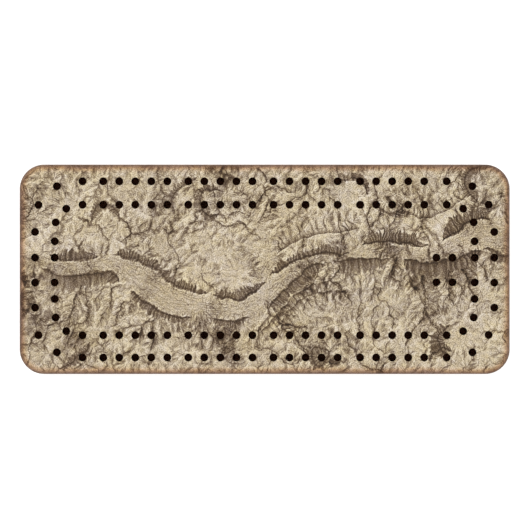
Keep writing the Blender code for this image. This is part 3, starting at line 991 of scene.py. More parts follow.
def wood_material():
    mat = Material("stained_hardwood")
    rings = growth_rings(mat)
    figure = mat.noise((14, 120, 120), detail=5.0, rough=0.6, distortion=0.4)
    pores = mat.noise((260, 5200, 5200), detail=3.0, rough=0.65)
    streak = mat.noise((40, 900, 900), detail=4.0, rough=0.6, shift=(2, 4, 1))
    fibre = mat.noise((75, 2700, 2700), detail=3.0, rough=0.6, shift=(7, 1, 3))
    late = mat.math("POWER", rings, 2.4)  # each ring darkens towards its outer edge
    grain = mat.math("MULTIPLY_ADD", late, -0.34, 0.30)
    grain = mat.math("ADD", grain, mat.scaled(figure, 0.38))
    grain = mat.math("ADD", grain, mat.scaled(streak, 0.26))
    grain = mat.vary(grain, fibre, width=0.34)
    colour = mat.ramp(grain, STAINED)
    dark_pores = mat.span(pores, low=0.56, high=0.70)
    colour = mat.tint(colour, mat.scaled(dark_pores, 0.62), by=(0.40, 0.31, 0.25))
    # raw wood where the router cut, after staining
    raw = mat.attribute("raw")
    pale = mat.ramp(grain, RAW)
    colour = mat.mix(raw, colour, mat.mix(mat.scaled(dark_pores, 0.35), pale, RAW_PORES))
    # the rounded top edge: painted shade darkest at the outline where it turns down, then warm
    # brown, then rubbed pale
    edge = mat.attribute("edge")
    patch = mat.noise((120, 120, 60), detail=6.0, rough=0.64, shift=(4, 1, 6))
    fine = mat.noise(700, detail=4.0, rough=0.6, shift=(1, 2, 9))
    reach = mat.vary(mat.vary(edge, patch, width=0.50), fine, width=0.36)
    edge_wear_and_shade = mat.ramp(reach, WORN_AND_SHADED_EDGE)
    warm = mat.noise(45, detail=3.0, rough=0.6, shift=(8, 3, 2))
    warm = mat.span(warm, low=0.40, high=0.68, to=(0.0, 0.55))
    edge_wear_and_shade = mat.tint(edge_wear_and_shade, warm, by=(1.04, 0.90, 0.82))
    edge_wear_and_shade = mat.tint(edge_wear_and_shade, mat.scaled(dark_pores, 0.18), by=(0.6, 0.5, 0.42))
    edge_wear_and_shade = smudged(mat, edge_wear_and_shade, 1.0)
    colour = mat.mix(mat.attribute("top"), colour, edge_wear_and_shade)
    # the sides darken a little at their bottom arris
    arris = mat.scaled(mat.attribute("arris"), 0.45)
    colour = mat.tint(colour, arris, by=(0.55, 0.46, 0.40))
    # the drilled holes: walls painted near black as painted shade deep in the holes, and
    # redder floors
    bore = mat.attribute("bore")
    colour = mat.mix(bore, colour, mat.ramp(fine, BORE_WALL_SHADE))
    colour = mat.mix(mat.attribute("bore_floor"), colour, mat.ramp(fine, BORE_FLOOR))
    rough = mat.span(pores, low=0.3, high=0.7, to=(0.42, 0.58))
    rough = mat.math("ADD", rough, mat.scaled(raw, 0.2), clamp=True)
    mat.bump(mat.weigh(pores, -0.7, streak, 0.4), strength=0.22, distance=0.00008)
    return mat.finish(colour, rough, specular=0.3)


def metal_material(name, dark, light, rough, line_scale, brushed, relief=0.14):
    """Brushed or turned metal: fine lines, a little tarnish, uneven polish. dark and light
    are screen colours; brushed is the lines' share of the tone."""
    mat = Material(name)
    lines = mat.noise(line_scale, detail=3.0, rough=0.7)
    cloud = mat.noise(160, detail=5.0, rough=0.6, shift=(2, 5, 1))
    nicks = mat.noise(1500, detail=2.0, rough=0.5)
    tone = mat.weigh(lines, brushed, cloud, 1 - brushed)
    colour = mat.ramp(tone, [(0.25, linear(*dark)), (0.75, linear(*light))])
    spots = mat.span(nicks, low=0.66, high=0.78)
    colour = mat.tint(colour, mat.scaled(spots, 0.35), by=(0.55, 0.45, 0.36))
    polish = mat.span(lines, low=0.2, high=0.8, to=(rough * 0.75, rough * 1.25))
    polish = mat.math("ADD", polish, mat.span(cloud, low=0.4, high=0.8, to=(0.0, 0.12)))
    wavy = mat.noise(70, detail=1.0, rough=0.5, shift=(1, 3, 8))
    height = mat.math("ADD", mat.scaled(wavy, 18.0), lines)
    mat.bump(height, strength=relief, distance=0.00003)
    return mat.finish(colour, polish, metallic=1.0)


def rubber_material():
    mat = Material("foot_rubber")
    skin = mat.noise(2600, detail=4.0, rough=0.65)
    dust = mat.noise(300, detail=4.0, rough=0.6)
    colour = mat.ramp(dust, [(0.3, (0.012, 0.012, 0.013)), (0.7, (0.030, 0.029, 0.028))])
    mat.bump(skin, strength=0.35, distance=0.00006)
    rough = mat.span(skin, low=0.3, high=0.7, to=(0.62, 0.85))
    return mat.finish(colour, rough, specular=0.35)


# ================================================================== meshes
def link(obj):
    bpy.context.scene.collection.objects.link(obj)
    return obj


def smooth_shade(mesh, degrees):
    mesh.shade_smooth()
    mesh.set_sharp_from_angle(angle=math.radians(degrees))


def mesh_from(name, verts, faces, mat, smooth=None):
    """verts in mm; faces is a list of arrays, each of equal-sided faces."""
    mesh = bpy.data.meshes.new(name)
    verts = np.asarray(verts, np.float32) * MM
    mesh.vertices.add(len(verts))
    mesh.vertices.foreach_set("co", verts.ravel())
    sizes = np.concatenate([np.full(len(part), part.shape[1]) for part in faces])
    loops = np.concatenate([np.asarray(part, np.int32).ravel() for part in faces])
    mesh.loops.add(len(loops))
    mesh.loops.foreach_set("vertex_index", loops)
    mesh.polygons.add(len(sizes))
    starts = np.concatenate([[0], np.cumsum(sizes)[:-1]]).astype(np.int32)
    mesh.polygons.foreach_set("loop_start", starts)
    mesh.update(calc_edges=True)
    mesh.validate()
    mesh.materials.append(mat)
    if smooth is not None:
        smooth_shade(mesh, smooth)
    return link(bpy.data.objects.new(name, mesh))


def object_from(name, bm, mat=None):
    """Turns a bmesh, in metres, into an object and frees it."""
    mesh = bpy.data.meshes.new(name)
    bm.to_mesh(mesh)
    bm.free()
    if mat:
        mesh.materials.append(mat)
    return link(bpy.data.objects.new(name, mesh))


def add_attribute(obj, name, values, domain="POINT"):
    made = obj.data.attributes.new(name, "FLOAT", domain)
    made.data.foreach_set("value", np.asarray(values, np.float32))


def rounded_ring(half_x, half_y, corner, steps, inset, z, centre=(0.0, 0.0)):
    """A rectangle with rounded corners, drawn in by inset."""
    points = []
    radius = corner - inset
    for quarter, (right, up) in enumerate(((1, 1), (-1, 1), (-1, -1), (1, -1))):
        mid_x = centre[0] + right * (half_x - inset - radius)
        mid_y = centre[1] + up * (half_y - inset - radius)
        for i in range(steps + 1):
            angle = math.radians(90 * (quarter + i / steps))
            x = mid_x + radius * math.cos(angle)
            points.append((x, mid_y + radius * math.sin(angle), z))
    return points


def circle(centre, radius, sides, z):
    angles = [math.tau * i / sides for i in range(sides)]
    return [
        (centre[0] + radius * math.cos(angle), centre[1] + radius * math.sin(angle), z)
        for angle in angles
    ]


def rounding(radius, steps):
    """A quarter round: pairs that run from (0, radius) to (radius, 0)."""
    angles = [math.pi / 2 * i / steps for i in range(steps + 1)]
    return [(radius * (1 - math.cos(a)), radius * (1 - math.sin(a))) for a in angles]


def loft(name, rings, mat=None):
    """Closes a stack of equal-length loops of (x, y, z) in mm into a solid."""
    count = len(rings[0])
    bm = bmesh.new()
    verts = [bm.verts.new(Vector(point) * MM) for ring in rings for point in ring]
    for k in range(len(rings) - 1):
        low, high = k * count, (k + 1) * count
        for i in range(count):
            j = (i + 1) % count
            bm.faces.new((verts[low + i], verts[low + j], verts[high + j], verts[high + i]))
    bm.faces.new(verts[:count][::-1])
    bm.faces.new(verts[-count:])
    bmesh.ops.recalc_face_normals(bm, faces=bm.faces)
    return object_from(name, bm, mat)


def turned(name, profile, sides, mat, centre, lie=None):
    """A closed turned piece: (radius, height) pairs in mm, first and last on the axis. It is
    turned by lie, if given, then moved to centre."""
    bm = bmesh.new()
    rings = []
    for radius, z in profile:
        if radius < 1e-6:
            rings.append([bm.verts.new((0, 0, z * MM))])
            continue
        wide = radius * MM
        angles = [math.tau * i / sides for i in range(sides)]
        spots = [(wide * math.cos(angle), wide * math.sin(angle), z * MM) for angle in angles]
        rings.append([bm.verts.new(spot) for spot in spots])
    for low, high in zip(rings, rings[1:]):
        for i in range(sides):
            j = (i + 1) % sides
            if len(low) == 1:
                bm.faces.new((low[0], high[i], high[j]))
            elif len(high) == 1:
                bm.faces.new((low[i], low[j], high[0]))
            else:
                bm.faces.new((low[i], low[j], high[j], high[i]))
    bmesh.ops.recalc_face_normals(bm, faces=bm.faces)
    if lie is not None:
        bmesh.ops.rotate(bm, verts=bm.verts, cent=(0, 0, 0), matrix=lie)
    bmesh.ops.translate(bm, verts=bm.verts, vec=Vector(centre) * MM)
    obj = object_from(name, bm, mat)
    smooth_shade(obj.data, 35)
    return obj


def cut(obj, cutters, smooth):
    """Cuts closed meshes out of obj, keeps the result as plain mesh and shades it smooth."""
    for cutter in cutters:
        modifier = obj.modifiers.new("cut", "BOOLEAN")
        modifier.operation, modifier.solver = "DIFFERENCE", "EXACT"
        modifier.object = cutter
    graph = bpy.context.evaluated_depsgraph_get()
    done = bpy.data.meshes.new_from_object(obj.evaluated_get(graph))
    old = obj.data
    obj.modifiers.clear()
    obj.data = done
    bpy.data.meshes.remove(old)
    for cutter in cutters:
        bpy.data.objects.remove(cutter, do_unlink=True)
    smooth_shade(done, smooth)


def inner_depth(points, half_x, half_y, corner):
    """How far points lie inside a rounded rectangle's outline."""
    over_x = np.abs(points[:, 0]) - (half_x - corner)
    over_y = np.abs(points[:, 1]) - (half_y - corner)
    beyond = np.hypot(np.maximum(over_x, 0), np.maximum(over_y, 0))
    return corner - (beyond + np.minimum(np.maximum(over_x, over_y), 0))


def fit(obj, body, node):
    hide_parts(node)
    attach(obj, body)


# ------------------------------------------------------------ printed sheet
SHEET_ROUND = 0.18  # from the face's flat grid to the sheet's outline
FACE_X, FACE_Y = SHEET_X - SHEET_ROUND, SHEET_Y - SHEET_ROUND
FACE_CORNER = SHEET_CORNER - SHEET_ROUND
BLOCK = 11  # cells replaced by rings on each side of a hole
# where the rings lie, as shares of the way from the rim to the block's edge
RING_SHARES = (0.62, 0.30, 0.05, 0.0)
RIM_DROP = 0.05
# distances past the face at which the print runs on over the plank's rounded edge
SKIRT = (0.18, 0.36, 0.54, 0.72, 0.90, 1.08, 1.26, 1.42, 1.58, 1.72, 1.84, 1.93)


class Patchwork:
    """Points, heights and quads gathered for one mesh."""

    def __init__(self):
        self.points, self.heights, self.quads = [], [], []
        self.count = 0

    def add(self, points, heights):
        """Adds points and returns their numbers."""
        self.points.append(points)
        self.heights.append(np.broadcast_to(heights, len(points)))
        numbers = np.arange(self.count, self.count + len(points))
        self.count += len(points)
        return numbers

    def band(self, first, second, flip=False):
        """Joins two closed rings of equal length."""
        corners = [first, np.roll(first, -1), np.roll(second, -1), second]
        if flip:
            corners[1], corners[3] = corners[3], corners[1]
        self.quads.append(np.stack(corners, 1))


def block_outline(index, i0, i1, j0, j1):
    """The nodes round a block of the grid, in order."""
    sides = [index[j0, i0:i1], index[j0:j1, i1], index[j1, i1:i0:-1], index[j1:j0:-1, i0]]
    return np.concatenate(sides)


def face_grid(xs, ys):
    """The sheet's face grid, its corner squares drawn in to quarter discs."""
    X, Y = np.meshgrid(xs, ys)
    mid_x, mid_y = FACE_X - FACE_CORNER, FACE_Y - FACE_CORNER
    across = (np.abs(X) - mid_x) / FACE_CORNER
    up = (np.abs(Y) - mid_y) / FACE_CORNER
    corner = (across > 0) & (up > 0)
    across, up = across[corner], up[corner]
    radius = FACE_CORNER * np.maximum(across, up)
    steep = math.pi / 2 - math.pi / 4 * across / np.maximum(up, 1e-12)
    angle = np.where(across >= up, math.pi / 4 * up / across, steep)
    X[corner] = np.sign(X[corner]) * (mid_x + radius * np.cos(angle))
    Y[corner] = np.sign(Y[corner]) * (mid_y + radius * np.sin(angle))
    return np.stack([X.ravel(), Y.ravel()], 1)


def face_height(points, drop=0.0):
    """The face's height, thinning towards the sheet's outline."""
    inner = inner_depth(points, SHEET_X, SHEET_Y, SHEET_CORNER)
    return SHEET_TOP - drop - 0.24 * np.exp(-((np.maximum(inner - 0.1, 0) / 0.9) ** 2))


def punch_holes(work, grid, index, spacing):
    """Rings from each block's edge to its hole. Returns the rims, and the cells and nodes
    that stay."""
    cell_kept = np.ones((index.shape[0] - 1, index.shape[1] - 1), bool)
    node_kept = np.ones(index.shape, bool)
    rims = []
    for centre in HOLES:
        column = int(round((centre[0] + FACE_X) / spacing[0]))
        row = int(round((centre[1] + FACE_Y) / spacing[1]))
        i0, i1, j0, j1 = column - BLOCK, column + BLOCK, row - BLOCK, row + BLOCK
        cell_kept[j0:j1, i0:i1] = False
        node_kept[j0 + 1 : j1, i0 + 1 : i1] = False
        previous = block_outline(index, i0, i1, j0, j1)
        outer = grid[previous]
        away = outer - centre
        rim = centre + HOLE_RADIUS * away / np.linalg.norm(away, axis=1)[:, None]
        for share in RING_SHARES:
            points = rim + (outer - rim) * share
            drop = RIM_DROP if share == 0.0 else 0.0
            ring = work.add(points, face_height(points, drop))
            work.band(previous, ring)
            previous = ring
        rims.append(previous)
    return rims, cell_kept, node_kept


def add_skirt(work, border, points, normal):
    """The print running thin over the plank's rounded edge. Returns its last ring."""
    previous = border
    height = face_height(points)
    for out in SKIRT:
        inset = INSET + SHEET_ROUND - out
        over = min(out / 0.5, 1)
        rise = math.sqrt(max(INSET**2 - max(INSET - inset, 0) ** 2, 0))
        z = PLANK_TOP + 0.03 - INSET + rise
        ring = work.add(points + normal * out, height * (1 - over) + z * over)
        work.band(previous, ring, flip=True)
        previous = ring
    return previous


def underside_triangles(low_points, rings):
    """Fills the underside between its outline and the holes' rims, facing down."""
    first = rings[0][0]
    edges = np.concatenate([np.stack([r, np.roll(r, -1)], 1) for r in rings]) - first
    points = [Vector(point) for point in low_points]
    filled = geometry.delaunay_2d_cdt(points, edges.tolist(), [], 0, 1e-7)
    tris = np.array(filled[2])
    origin = np.array([sources[0] for sources in filled[3]])
    middle = np.array([tuple(point) for point in filled[0]])[tris].mean(1)
    solid = np.ones(len(tris), bool)
    for x, y in HOLES:
        solid &= np.hypot(middle[:, 0] - x, middle[:, 1] - y) > HOLE_RADIUS * 0.999
    tris = origin[tris[solid]]
    one, two, three = (low_points[tris[:, k]] for k in range(3))
    side, other = two - one, three - one
    turn = side[:, 0] * other[:, 1] - side[:, 1] * other[:, 0]
    tris[turn > 0] = tris[turn > 0][:, ::-1]
    return tris + first


def build_sheet(grey, mat):
    """The sheet's face is a grid as fine as the drawing's: its corners are drawn in to the
    rounded outline, and round each peg hole a block of cells is replaced by rings."""
    columns = int(round(2 * FACE_X / STEP)) + 1
    rows = int(round(2 * FACE_Y / STEP)) + 1
    xs, ys = np.linspace(-FACE_X, FACE_X, columns), np.linspace(-FACE_Y, FACE_Y, rows)
    grid = face_grid(xs, ys)
    index = np.arange(columns * rows).reshape(rows, columns)
    work = Patchwork()
    work.add(grid, face_height(grid))
    spacing = xs[1] - xs[0], ys[1] - ys[0]
    rims, cell_kept, node_kept = punch_holes(work, grid, index, spacing)
    j, i = np.argwhere(cell_kept).T
    cells = [index[j, i], index[j, i + 1], index[j + 1, i + 1], index[j + 1, i]]
    work.quads.append(np.stack(cells, 1))

    border = block_outline(index, 0, columns - 1, 0, rows - 1)
    points = grid[border]
    straight = np.array([FACE_X - FACE_CORNER, FACE_Y - FACE_CORNER])
    away = points - np.clip(points, -straight, straight)
    normal = away / np.maximum(np.linalg.norm(away, axis=1), 1e-9)[:, None]
    skirt_end = add_skirt(work, border, points, normal)

    # underside: the outline, the hole rims, and the fill between them
    top = np.concatenate(work.points)
    lows = [work.add(points + normal * SHEET_ROUND, SHEET_BOTTOM)]
    work.band(skirt_end, lows[0], flip=True)
    for rim in rims:
        lows.append(work.add(top[rim], SHEET_BOTTOM))
        work.band(rim, lows[-1])
    points, heights = np.concatenate(work.points), np.concatenate(work.heights)
    tris = underside_triangles(points[lows[0][0] :], lows)

    # drop the nodes inside the blocks
    used = np.ones(len(points), bool)
    used[: index.size] = node_kept.ravel()
    renumbered = np.cumsum(used) - 1
    points, heights = points[used], heights[used]
    faces = [renumbered[np.concatenate(work.quads)], renumbered[tris]]
    obj = mesh_from("map_sheet", np.column_stack([points, heights]), faces, mat, smooth=50)
    x, y = (points[:, 0] + BOARD_X) / STEP, (points[:, 1] + BOARD_Y) / STEP
    add_attribute(obj, "ink", (sample(grey, x, y) - INK_GREY) / INK_RANGE)
    depth = inner_depth(points, SHEET_X, SHEET_Y, SHEET_CORNER) + INSET
    add_attribute(obj, "depth", np.clip(depth / DEPTH_UNIT, 0, 1))
    return obj


# ------------------------------------------------------------------- plank
EDGE_BAND = 0.9  # below the rounded top edge, where the edge's worn colour and painted shade fade in


def plank_blank(mat):
    """The plank's outside: rounded bottom rim, straight sides, rounded top edge."""
    rim = 0.8
    side_top = PLANK_TOP - INSET - EDGE_BAND
    side_bottom = UNDERSIDE + rim
    levels = [(inset, UNDERSIDE + rise) for rise, inset in rounding(rim, 3)]
    for k in range(1, 6):
        levels.append((0.0, side_bottom + (side_top - UNDERSIDE - rim) * k / 5))
    levels += [(inset, PLANK_TOP - drop) for inset, drop in rounding(INSET, 10)]
    rings = [rounded_ring(BOARD_X, BOARD_Y, BOARD_CORNER, 16, *level) for level in levels]
    return loft("plank", rings, mat)


def peg_bores():
    """Cutters for the peg holes, each with a drill's point."""
    bm = bmesh.new()
    top = PLANK_TOP + 3
    for x, y in HOLES:
        radius = HOLE_RADIUS * MM
        depth = (top - HOLE_FLOOR) * MM
        verts = bmesh.ops.create_cone(
            bm, cap_ends=True, segments=48, radius1=radius, radius2=radius, depth=depth
        )["verts"]
        middle = Vector((x, y, (top + HOLE_FLOOR) / 2)) * MM
        bmesh.ops.translate(bm, verts=verts, vec=middle)
        tip = [vert for vert in verts if vert.co.z < HOLE_FLOOR * MM + 1e-6]
        end = [face for face in bm.faces if all(vert in tip for vert in face.verts)]
        for vert in bmesh.ops.poke(bm, faces=end)["verts"]:
            vert.co.z -= 0.55 * MM
    return object_from("bores", bm)


def store_pocket():
    """Cutter for the pegs' store: flared at the mouth, filleted at its ceiling."""
    levels = [(-0.45, -2.0), (-0.45, -0.02), (0.0, 0.45)]
    levels += [(inset, STORE_DEPTH - drop) for inset, drop in rounding(1.0, 5)]
    rings = [rounded_ring(16.5, 10.5, 3.2, 10, inset, UNDERSIDE + z) for inset, z in levels]
    return loft("pocket", rings)


def mark_faces(plank):
    """Flags the faces that the drill and the router cut."""
    polygons = plank.data.polygons
    centre = np.empty(len(polygons) * 3, np.float32)
    polygons.foreach_get("center", centre)
    x, y, z = (centre.reshape(-1, 3) * 1000).T
    sizes = np.empty(len(polygons), np.int32)
    polygons.foreach_get("loop_total", sizes)
    bore = np.zeros(len(polygons), bool)
    for hole_x, hole_y in HOLES:
        bore |= np.hypot(x - hole_x, y - hole_y) < HOLE_RADIUS + 0.02
    bore &= (z < PLANK_TOP - 0.001) & (z > UNDERSIDE + STORE_DEPTH + 0.3)
    above = z > UNDERSIDE + 0.01
    raw = (np.abs(x) < 17.2) & (np.abs(y) < 11.2) & above
    raw &= z < UNDERSIDE + STORE_DEPTH + 0.1
    for screw_x, screw_y in (PIVOT, STOP):
        raw |= (np.hypot(x - screw_x, y - screw_y) < SCREW_BORE + 0.05) & above
    bore_floor = bore & (z < HOLE_FLOOR + 0.001)
    for name, flags in (("bore", bore), ("bore_floor", bore_floor), ("raw", raw)):
        add_attribute(plank, name, np.repeat(flags, sizes), "CORNER")


def build_plank(mat):
    plank = plank_blank(mat)
    cutters = [peg_bores(), store_pocket()]
    for name, spot in (("pilot_a", PIVOT), ("pilot_b", STOP)):
        rings = [circle(spot, SCREW_BORE, 32, UNDERSIDE + z) for z in (-2, 8)]
        cutters.append(loft(name, rings))
    cut(plank, cutters, smooth=32)

    verts = plank.data.vertices
    points = np.empty(len(verts) * 3, np.float32)
    verts.foreach_get("co", points)
    points = points.reshape(-1, 3) * 1000
    depth = inner_depth(points, BOARD_X, BOARD_Y, BOARD_CORNER)
    z = points[:, 2]
    add_attribute(plank, "edge", np.clip(depth / INSET, 0, 1))
    top = (z - (PLANK_TOP - INSET - EDGE_BAND)) / EDGE_BAND
    add_attribute(plank, "top", np.clip(top, 0, 1))
    arris = np.exp(-(((z - UNDERSIDE - 0.2) / 1.2) ** 2)) * (depth < 1.2)
    add_attribute(plank, "arris", arris)
    mark_faces(plank)
    return plank


# ---------------------------------------------------- feet, plate and washer
# radius, height: a bumper slightly hollow underneath, on a thin disc against the plank
FOOT_PROFILE = [
    (0.0, 0.35), (1.3, 0.33), (1.75, 0.2), (2.1, 0.05), (2.4, 0.0), (3.5, 0.0), (3.9, 0.07),
    (4.22, 0.26), (4.42, 0.55), (4.54, 0.95), (4.62, 1.9), (4.68, 2.0), (4.68, 2.12),
    (4.64, 2.2), (4.72, 3.3), (4.75, 3.75), (4.7, 3.93), (4.58, 4.0), (4.25, 4.02),
    (4.25, UNDERSIDE - 0.01), (0.0, UNDERSIDE - 0.01),
]


def build_feet():
    rubber = rubber_material()
    for name in ("foot_front_left", "foot_back_left", "foot_front_right", "foot_back_right"):
        low, high = node_box(name)
        centre = ((low[0] + high[0]) / 2, (low[1] + high[1]) / 2, 0.0)
        foot = turned(name + "_bumper", FOOT_PROFILE, 72, rubber, centre)
        fit(foot, "board", name)


def build_plate():
    """The swivel plate over the store, with two bevelled holes."""
    brass = metal_material(
        "brushed_brass", dark=(182, 150, 88), light=(232, 206, 146),
        rough=0.27, line_scale=(60, 2600, 900), brushed=0.62,
    )
    low, high = node_box("storage_cover")
    bottom, top = low[2], high[2]
    centre = (low[0] + high[0]) / 2, (low[1] + high[1]) / 2
    half_x, half_y = (high[0] - low[0]) / 2, (high[1] - low[1]) / 2
    bevel, corner = 0.16, 4.0
    levels = [(inset, bottom + rise) for rise, inset in rounding(bevel, 4)]
    levels += [(inset, top - drop) for inset, drop in rounding(bevel, 4)]
    rings = [rounded_ring(half_x, half_y, corner, 12, *level, centre) for level in levels]
    plate = loft("swivel_plate", rings, brass)
    flare = 0.2
    # height and widening of the hole cutters
    levels = [(bottom - 1, flare), (bottom, flare), (bottom + bevel, 0.0)]
    levels += [(top - bevel, 0.0), (top, flare), (top + 1, flare)]
    cutters = []
    for name, spot, radius in (("pivot_bore", PIVOT, 1.8), ("stop_notch", NOTCH, 1.85)):
        rings = [circle(spot, radius + wider, 56, z) for z, wider in levels]
        cutters.append(loft(name, rings))
    cut(plate, cutters, smooth=40)
    fit(plate, "cover", "storage_cover")


def build_washer():
    """The ring round the pivot screw, its four rims bevelled."""
    steel = metal_material(
        "washer_steel", dark=(150, 148, 143), light=(214, 212, 205),
        rough=0.30, line_scale=900, brushed=0.5,
    )
    low, high = node_box("pivot_washer")
    bottom, top = low[2], high[2]
    inner, outer, bevel, sides = 1.8, 4.0, 0.08, 72
    loop = [
        (inner, bottom + bevel), (inner + bevel, bottom),
        (outer - bevel, bottom), (outer, bottom + bevel),
        (outer, top - bevel), (outer - bevel, top),
        (inner + bevel, top), (inner, top - bevel),
    ]
    count = len(loop)
    angles = [math.tau * i / sides for i in range(sides)]
    verts = [
        (PIVOT[0] + radius * math.cos(angle), PIVOT[1] + radius * math.sin(angle), z)
        for angle in angles
        for radius, z in loop
    ]
    i, k = np.meshgrid(np.arange(sides), np.arange(count), indexing="ij")
    here, there = i * count, (i + 1) % sides * count
    above = (k + 1) % count
    quads = np.stack([here + k, there + k, there + above, here + above], -1).reshape(-1, 4)
    washer = mesh_from("washer_ring", verts, [quads], steel, smooth=35)
    fit(washer, "board", "pivot_washer")


# ----------------------------------------------------------- screws and pegs
# radius, height up from the top of the head, which faces down
SCREW_HEAD = [
    (0.0, 0.0), (0.9, 0.03), (1.6, 0.12), (2.2, 0.30), (2.66, 0.56), (2.96, 0.85),
    (3.13, 1.12), (3.2, 1.36), (3.2, 1.5), (3.1, 1.6), (1.5, 1.6), (1.5, 2.9),
]
SCREW_TIP = [(1.1, 9.6), (0.2, 10.98), (0.0, 11.0)]
THREAD_START, THREAD_PITCH, THREAD_TURNS = 3.0, 0.75, 9
# x, y of the screwdriver slot's corners
SLOT = ((4.5, 0.45), (-4.5, 0.45), (-4.5, -0.45), (4.5, -0.45))


def build_screws():
    """The two slotted screws, with a cut thread up the shank."""
    brass = metal_material(
        "screw_brass", dark=(168, 132, 70), light=(226, 194, 124),
        rough=0.24, line_scale=1500, brushed=0.4,
    )
    thread = []
    for k in range(THREAD_TURNS):
        z = THREAD_START + k * THREAD_PITCH
        thread += [(1.16, z + 0.10), (1.5, z + 0.45), (1.5, z + 0.55)]
    profile = SCREW_HEAD + thread + SCREW_TIP
    head = node_box("pivot_screw")[0][2]
    for name, (x, y), degrees in (("pivot_screw", PIVOT, 20.0), ("stop_screw", STOP, 65.0)):
        screw = turned(name + "_turned", profile, 64, brass, (x, y, head))
        cos, sin = math.cos(math.radians(degrees)), math.sin(math.radians(degrees))
        outline = [(x + a * cos - b * sin, y + a * sin + b * cos) for a, b in SLOT]
        rings = [[(*corner, z) for corner in outline] for z in (head - 1.2, head + 0.8)]
        cut(screw, [loft("slot", rings)], smooth=32)
        fit(screw, "board", name)


# radius, distance from the tip: tapered shaft, small neck, grooved and domed head
PEG_PROFILE = [
    (0.0, 0.0), (0.6, 0.03), (0.98, 0.15), (1.18, 0.38), (1.25, 0.75), (1.33, 7.0),
    (1.42, 15.0), (1.5, 22.9), (1.5, 23.45), (1.38, 23.55), (1.38, 23.75), (1.55, 23.9),
    (1.95, 24.28), (2.25, 24.6), (2.37, 24.85), (2.4, 25.1), (2.4, 25.5), (2.24, 25.6),
    (2.24, 25.76), (2.4, 25.86), (2.4, 26.4), (2.24, 26.5), (2.24, 26.66), (2.4, 26.76),
    (2.4, 27.1), (2.32, 27.5), (2.1, 27.9), (1.72, 28.22), (1.2, 28.44), (0.62, 28.56),
    (0.0, 28.6),
]
PEG_HALF = PEG_PROFILE[-1][1] / 2


def build_pegs():
    """Four pegs lying along X in the store, brass heads towards +X and steel ones to -X."""
    polish = {"line_scale": (2600, 60, 60), "brushed": 0.3, "relief": 0.05}
    brass = metal_material(
        "turned_brass", dark=(186, 150, 82), light=(238, 208, 142), rough=0.15, **polish
    )
    steel = metal_material(
        "turned_nickel", dark=(160, 158, 152), light=(226, 224, 217), rough=0.13, **polish
    )
    for number in (1, 2):
        for metal, mat, facing in (("brass", brass, 1), ("steel", steel, -1)):
            name = f"peg_{metal}_{number}"
            low, high = node_box(name)
            centre = (-facing * PEG_HALF, (low[1] + high[1]) / 2, (low[2] + high[2]) / 2)
            lie = Matrix.Rotation(facing * math.pi / 2, 3, "Y")
            peg = turned(name + "_turned", PEG_PROFILE, 56, mat, centre, lie)
            fit(peg, f"{metal}_peg_{number}", name)


fit(build_sheet(draw(), map_material()), "board", "map_print")
fit(build_plank(wood_material()), "board", "board_body")
build_feet()
build_plate()
build_washer()
build_screws()
build_pegs()


# ======================================================= floor, light, camera
FLOOR_GLOW = 0.62
FLOOR_HALF = 60000.0  # mm
WORLD_STRENGTH = 0.62


def floor_material():
    """Pale and even. It glows a little, so that the board casts next to no shadow, and is
    open from below, so that the underside can be looked at."""
    mat = Material("studio_floor")
    grain = mat.noise(3, detail=2.0, rough=0.5)
    colour = mat.ramp(grain, [(0.3, (0.80, 0.80, 0.80)), (0.7, (0.82, 0.82, 0.82))])
    made = mat.finish(colour, 0.9, specular=0.05)
    mat.put(mat.shader.inputs["Emission Color"], (1.0, 1.0, 1.0))
    mat.put(mat.shader.inputs["Emission Strength"], FLOOR_GLOW)
    clear = mat.node("ShaderNodeBsdfTransparent").outputs[0]
    back = mat.node("ShaderNodeNewGeometry").outputs["Backfacing"]
    mixed = mat.node("ShaderNodeMixShader", {0: back, 1: mat.shader.outputs[0], 2: clear})
    mat.put(mat.tree.nodes["Material Output"].inputs["Surface"], mixed.outputs[0])
    return made


def build_floor():
    signs = ((-1, -1), (1, -1), (1, 1), (-1, 1))
    corners = [(x * FLOOR_HALF, y * FLOOR_HALF, 0) for x, y in signs]
    quad = np.array([[0, 1, 2, 3]])
    mesh_from("studio_floor", corners, [quad], floor_material())


# brightness overhead, by the height of the direction, 0 at the horizon: broad soft panels
PANELS = ((0.0, 0.50), (0.25, 0.80), (0.42, 1.30), (0.62, 0.85), (0.80, 1.20), (1.0, 0.95))
STRIPS = [(0.0, (0.42, 0.42, 0.43)), (1.0, (1.75, 1.74, 1.70))]


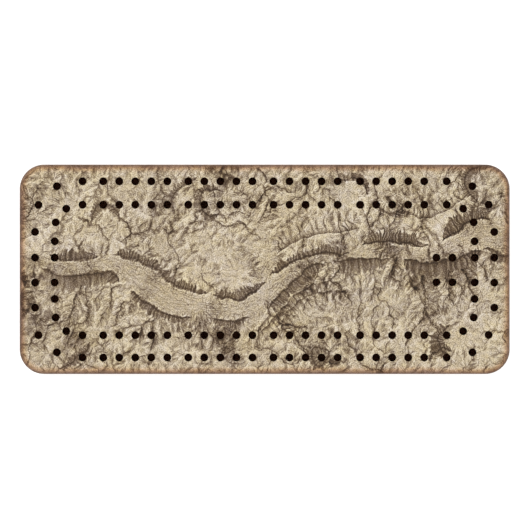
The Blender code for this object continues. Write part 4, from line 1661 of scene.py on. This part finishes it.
def build_world():
    """White to the camera. For light: panels above the horizon and, below it, where the floor
    hides them from the playing face, strips of light and dark for the metal to reflect."""
    world = bpy.data.worlds.new("studio_world")
    bpy.context.scene.world = world
    world.use_nodes = True
    nodes = Nodes(world.node_tree)
    for node in list(nodes.tree.nodes):
        nodes.tree.nodes.remove(node)
    way = nodes.node("ShaderNodeTexCoord").outputs["Generated"]
    z = nodes.node("ShaderNodeSeparateXYZ", {0: way}).outputs["Z"]
    stops = [(position, (level,) * 3) for position, level in PANELS]
    panels = nodes.ramp(nodes.math("ABSOLUTE", z), stops, "EASE")
    wave = nodes.node(
        "ShaderNodeTexWave",
        {"Vector": way, "Scale": 0.75, "Distortion": 1.2},
        wave_type="BANDS",
        bands_direction="DIAGONAL",
    )
    strips = nodes.ramp(wave.outputs["Fac"], STRIPS, "EASE")
    both = nodes.mix(nodes.math("LESS_THAN", z, 0.0), panels, strips)
    light, seen = (
        nodes.node("ShaderNodeBackground", {"Color": colour, "Strength": strength}).outputs[0]
        for colour, strength in ((both, WORLD_STRENGTH), ((1, 1, 1), 1.0))
    )
    to_camera = nodes.node("ShaderNodeLightPath").outputs["Is Camera Ray"]
    choice = nodes.node("ShaderNodeMixShader", {0: to_camera, 1: light, 2: seen})
    nodes.node("ShaderNodeOutputWorld", {"Surface": choice.outputs[0]})


# name, place and aim and width in m, power in W, colour
SOFTBOXES = (
    ("softbox_key", (-0.9, 0.7, 1.5), (0, 0, 0.02), 1.1, 11.0, (1.0, 0.99, 0.97)),
    ("softbox_fill", (1.1, -0.9, 1.2), (0, 0, 0.02), 1.3, 5.0, (0.97, 0.99, 1.0)),
    ("softbox_under", (0.5, -0.4, -0.9), (0, 0, 0.0), 0.7, 2.0, (1.0, 1.0, 1.0)),
)


def build_lights():
    for name, place, aim, width, power, colour in SOFTBOXES:
        light = bpy.data.lights.new(name, "AREA")
        light.shape = "DISK"
        light.size = width
        light.energy = power
        light.color = colour
        lamp = link(bpy.data.objects.new(name, light))
        lamp.location = place
        toward = Vector(aim) - Vector(place)
        lamp.rotation_euler = toward.to_track_quat("-Z", "Y").to_euler()
        lamp.visible_camera = False


def build_camera():
    """A long lens looking straight down at the playing face."""
    lens = bpy.data.cameras.new("main_camera")
    lens.lens, lens.sensor_width, lens.sensor_fit = 400.0, 36.0, "AUTO"
    lens.clip_start, lens.clip_end = 0.05, 200.0
    camera = link(bpy.data.objects.new("main_camera", lens))
    camera.location = (0.000127, 0.0017, SHEET_TOP * MM + 2.3326)
    camera.rotation_euler = (0.0, 0.0, 0.0)
    scene = bpy.context.scene
    scene.camera = camera
    scene.view_settings.view_transform = "Standard"
    scene.view_settings.look = "None"
    scene.view_settings.exposure = 0.0
    scene.view_settings.gamma = 1.0


build_floor()
build_world()
build_lights()
build_camera()
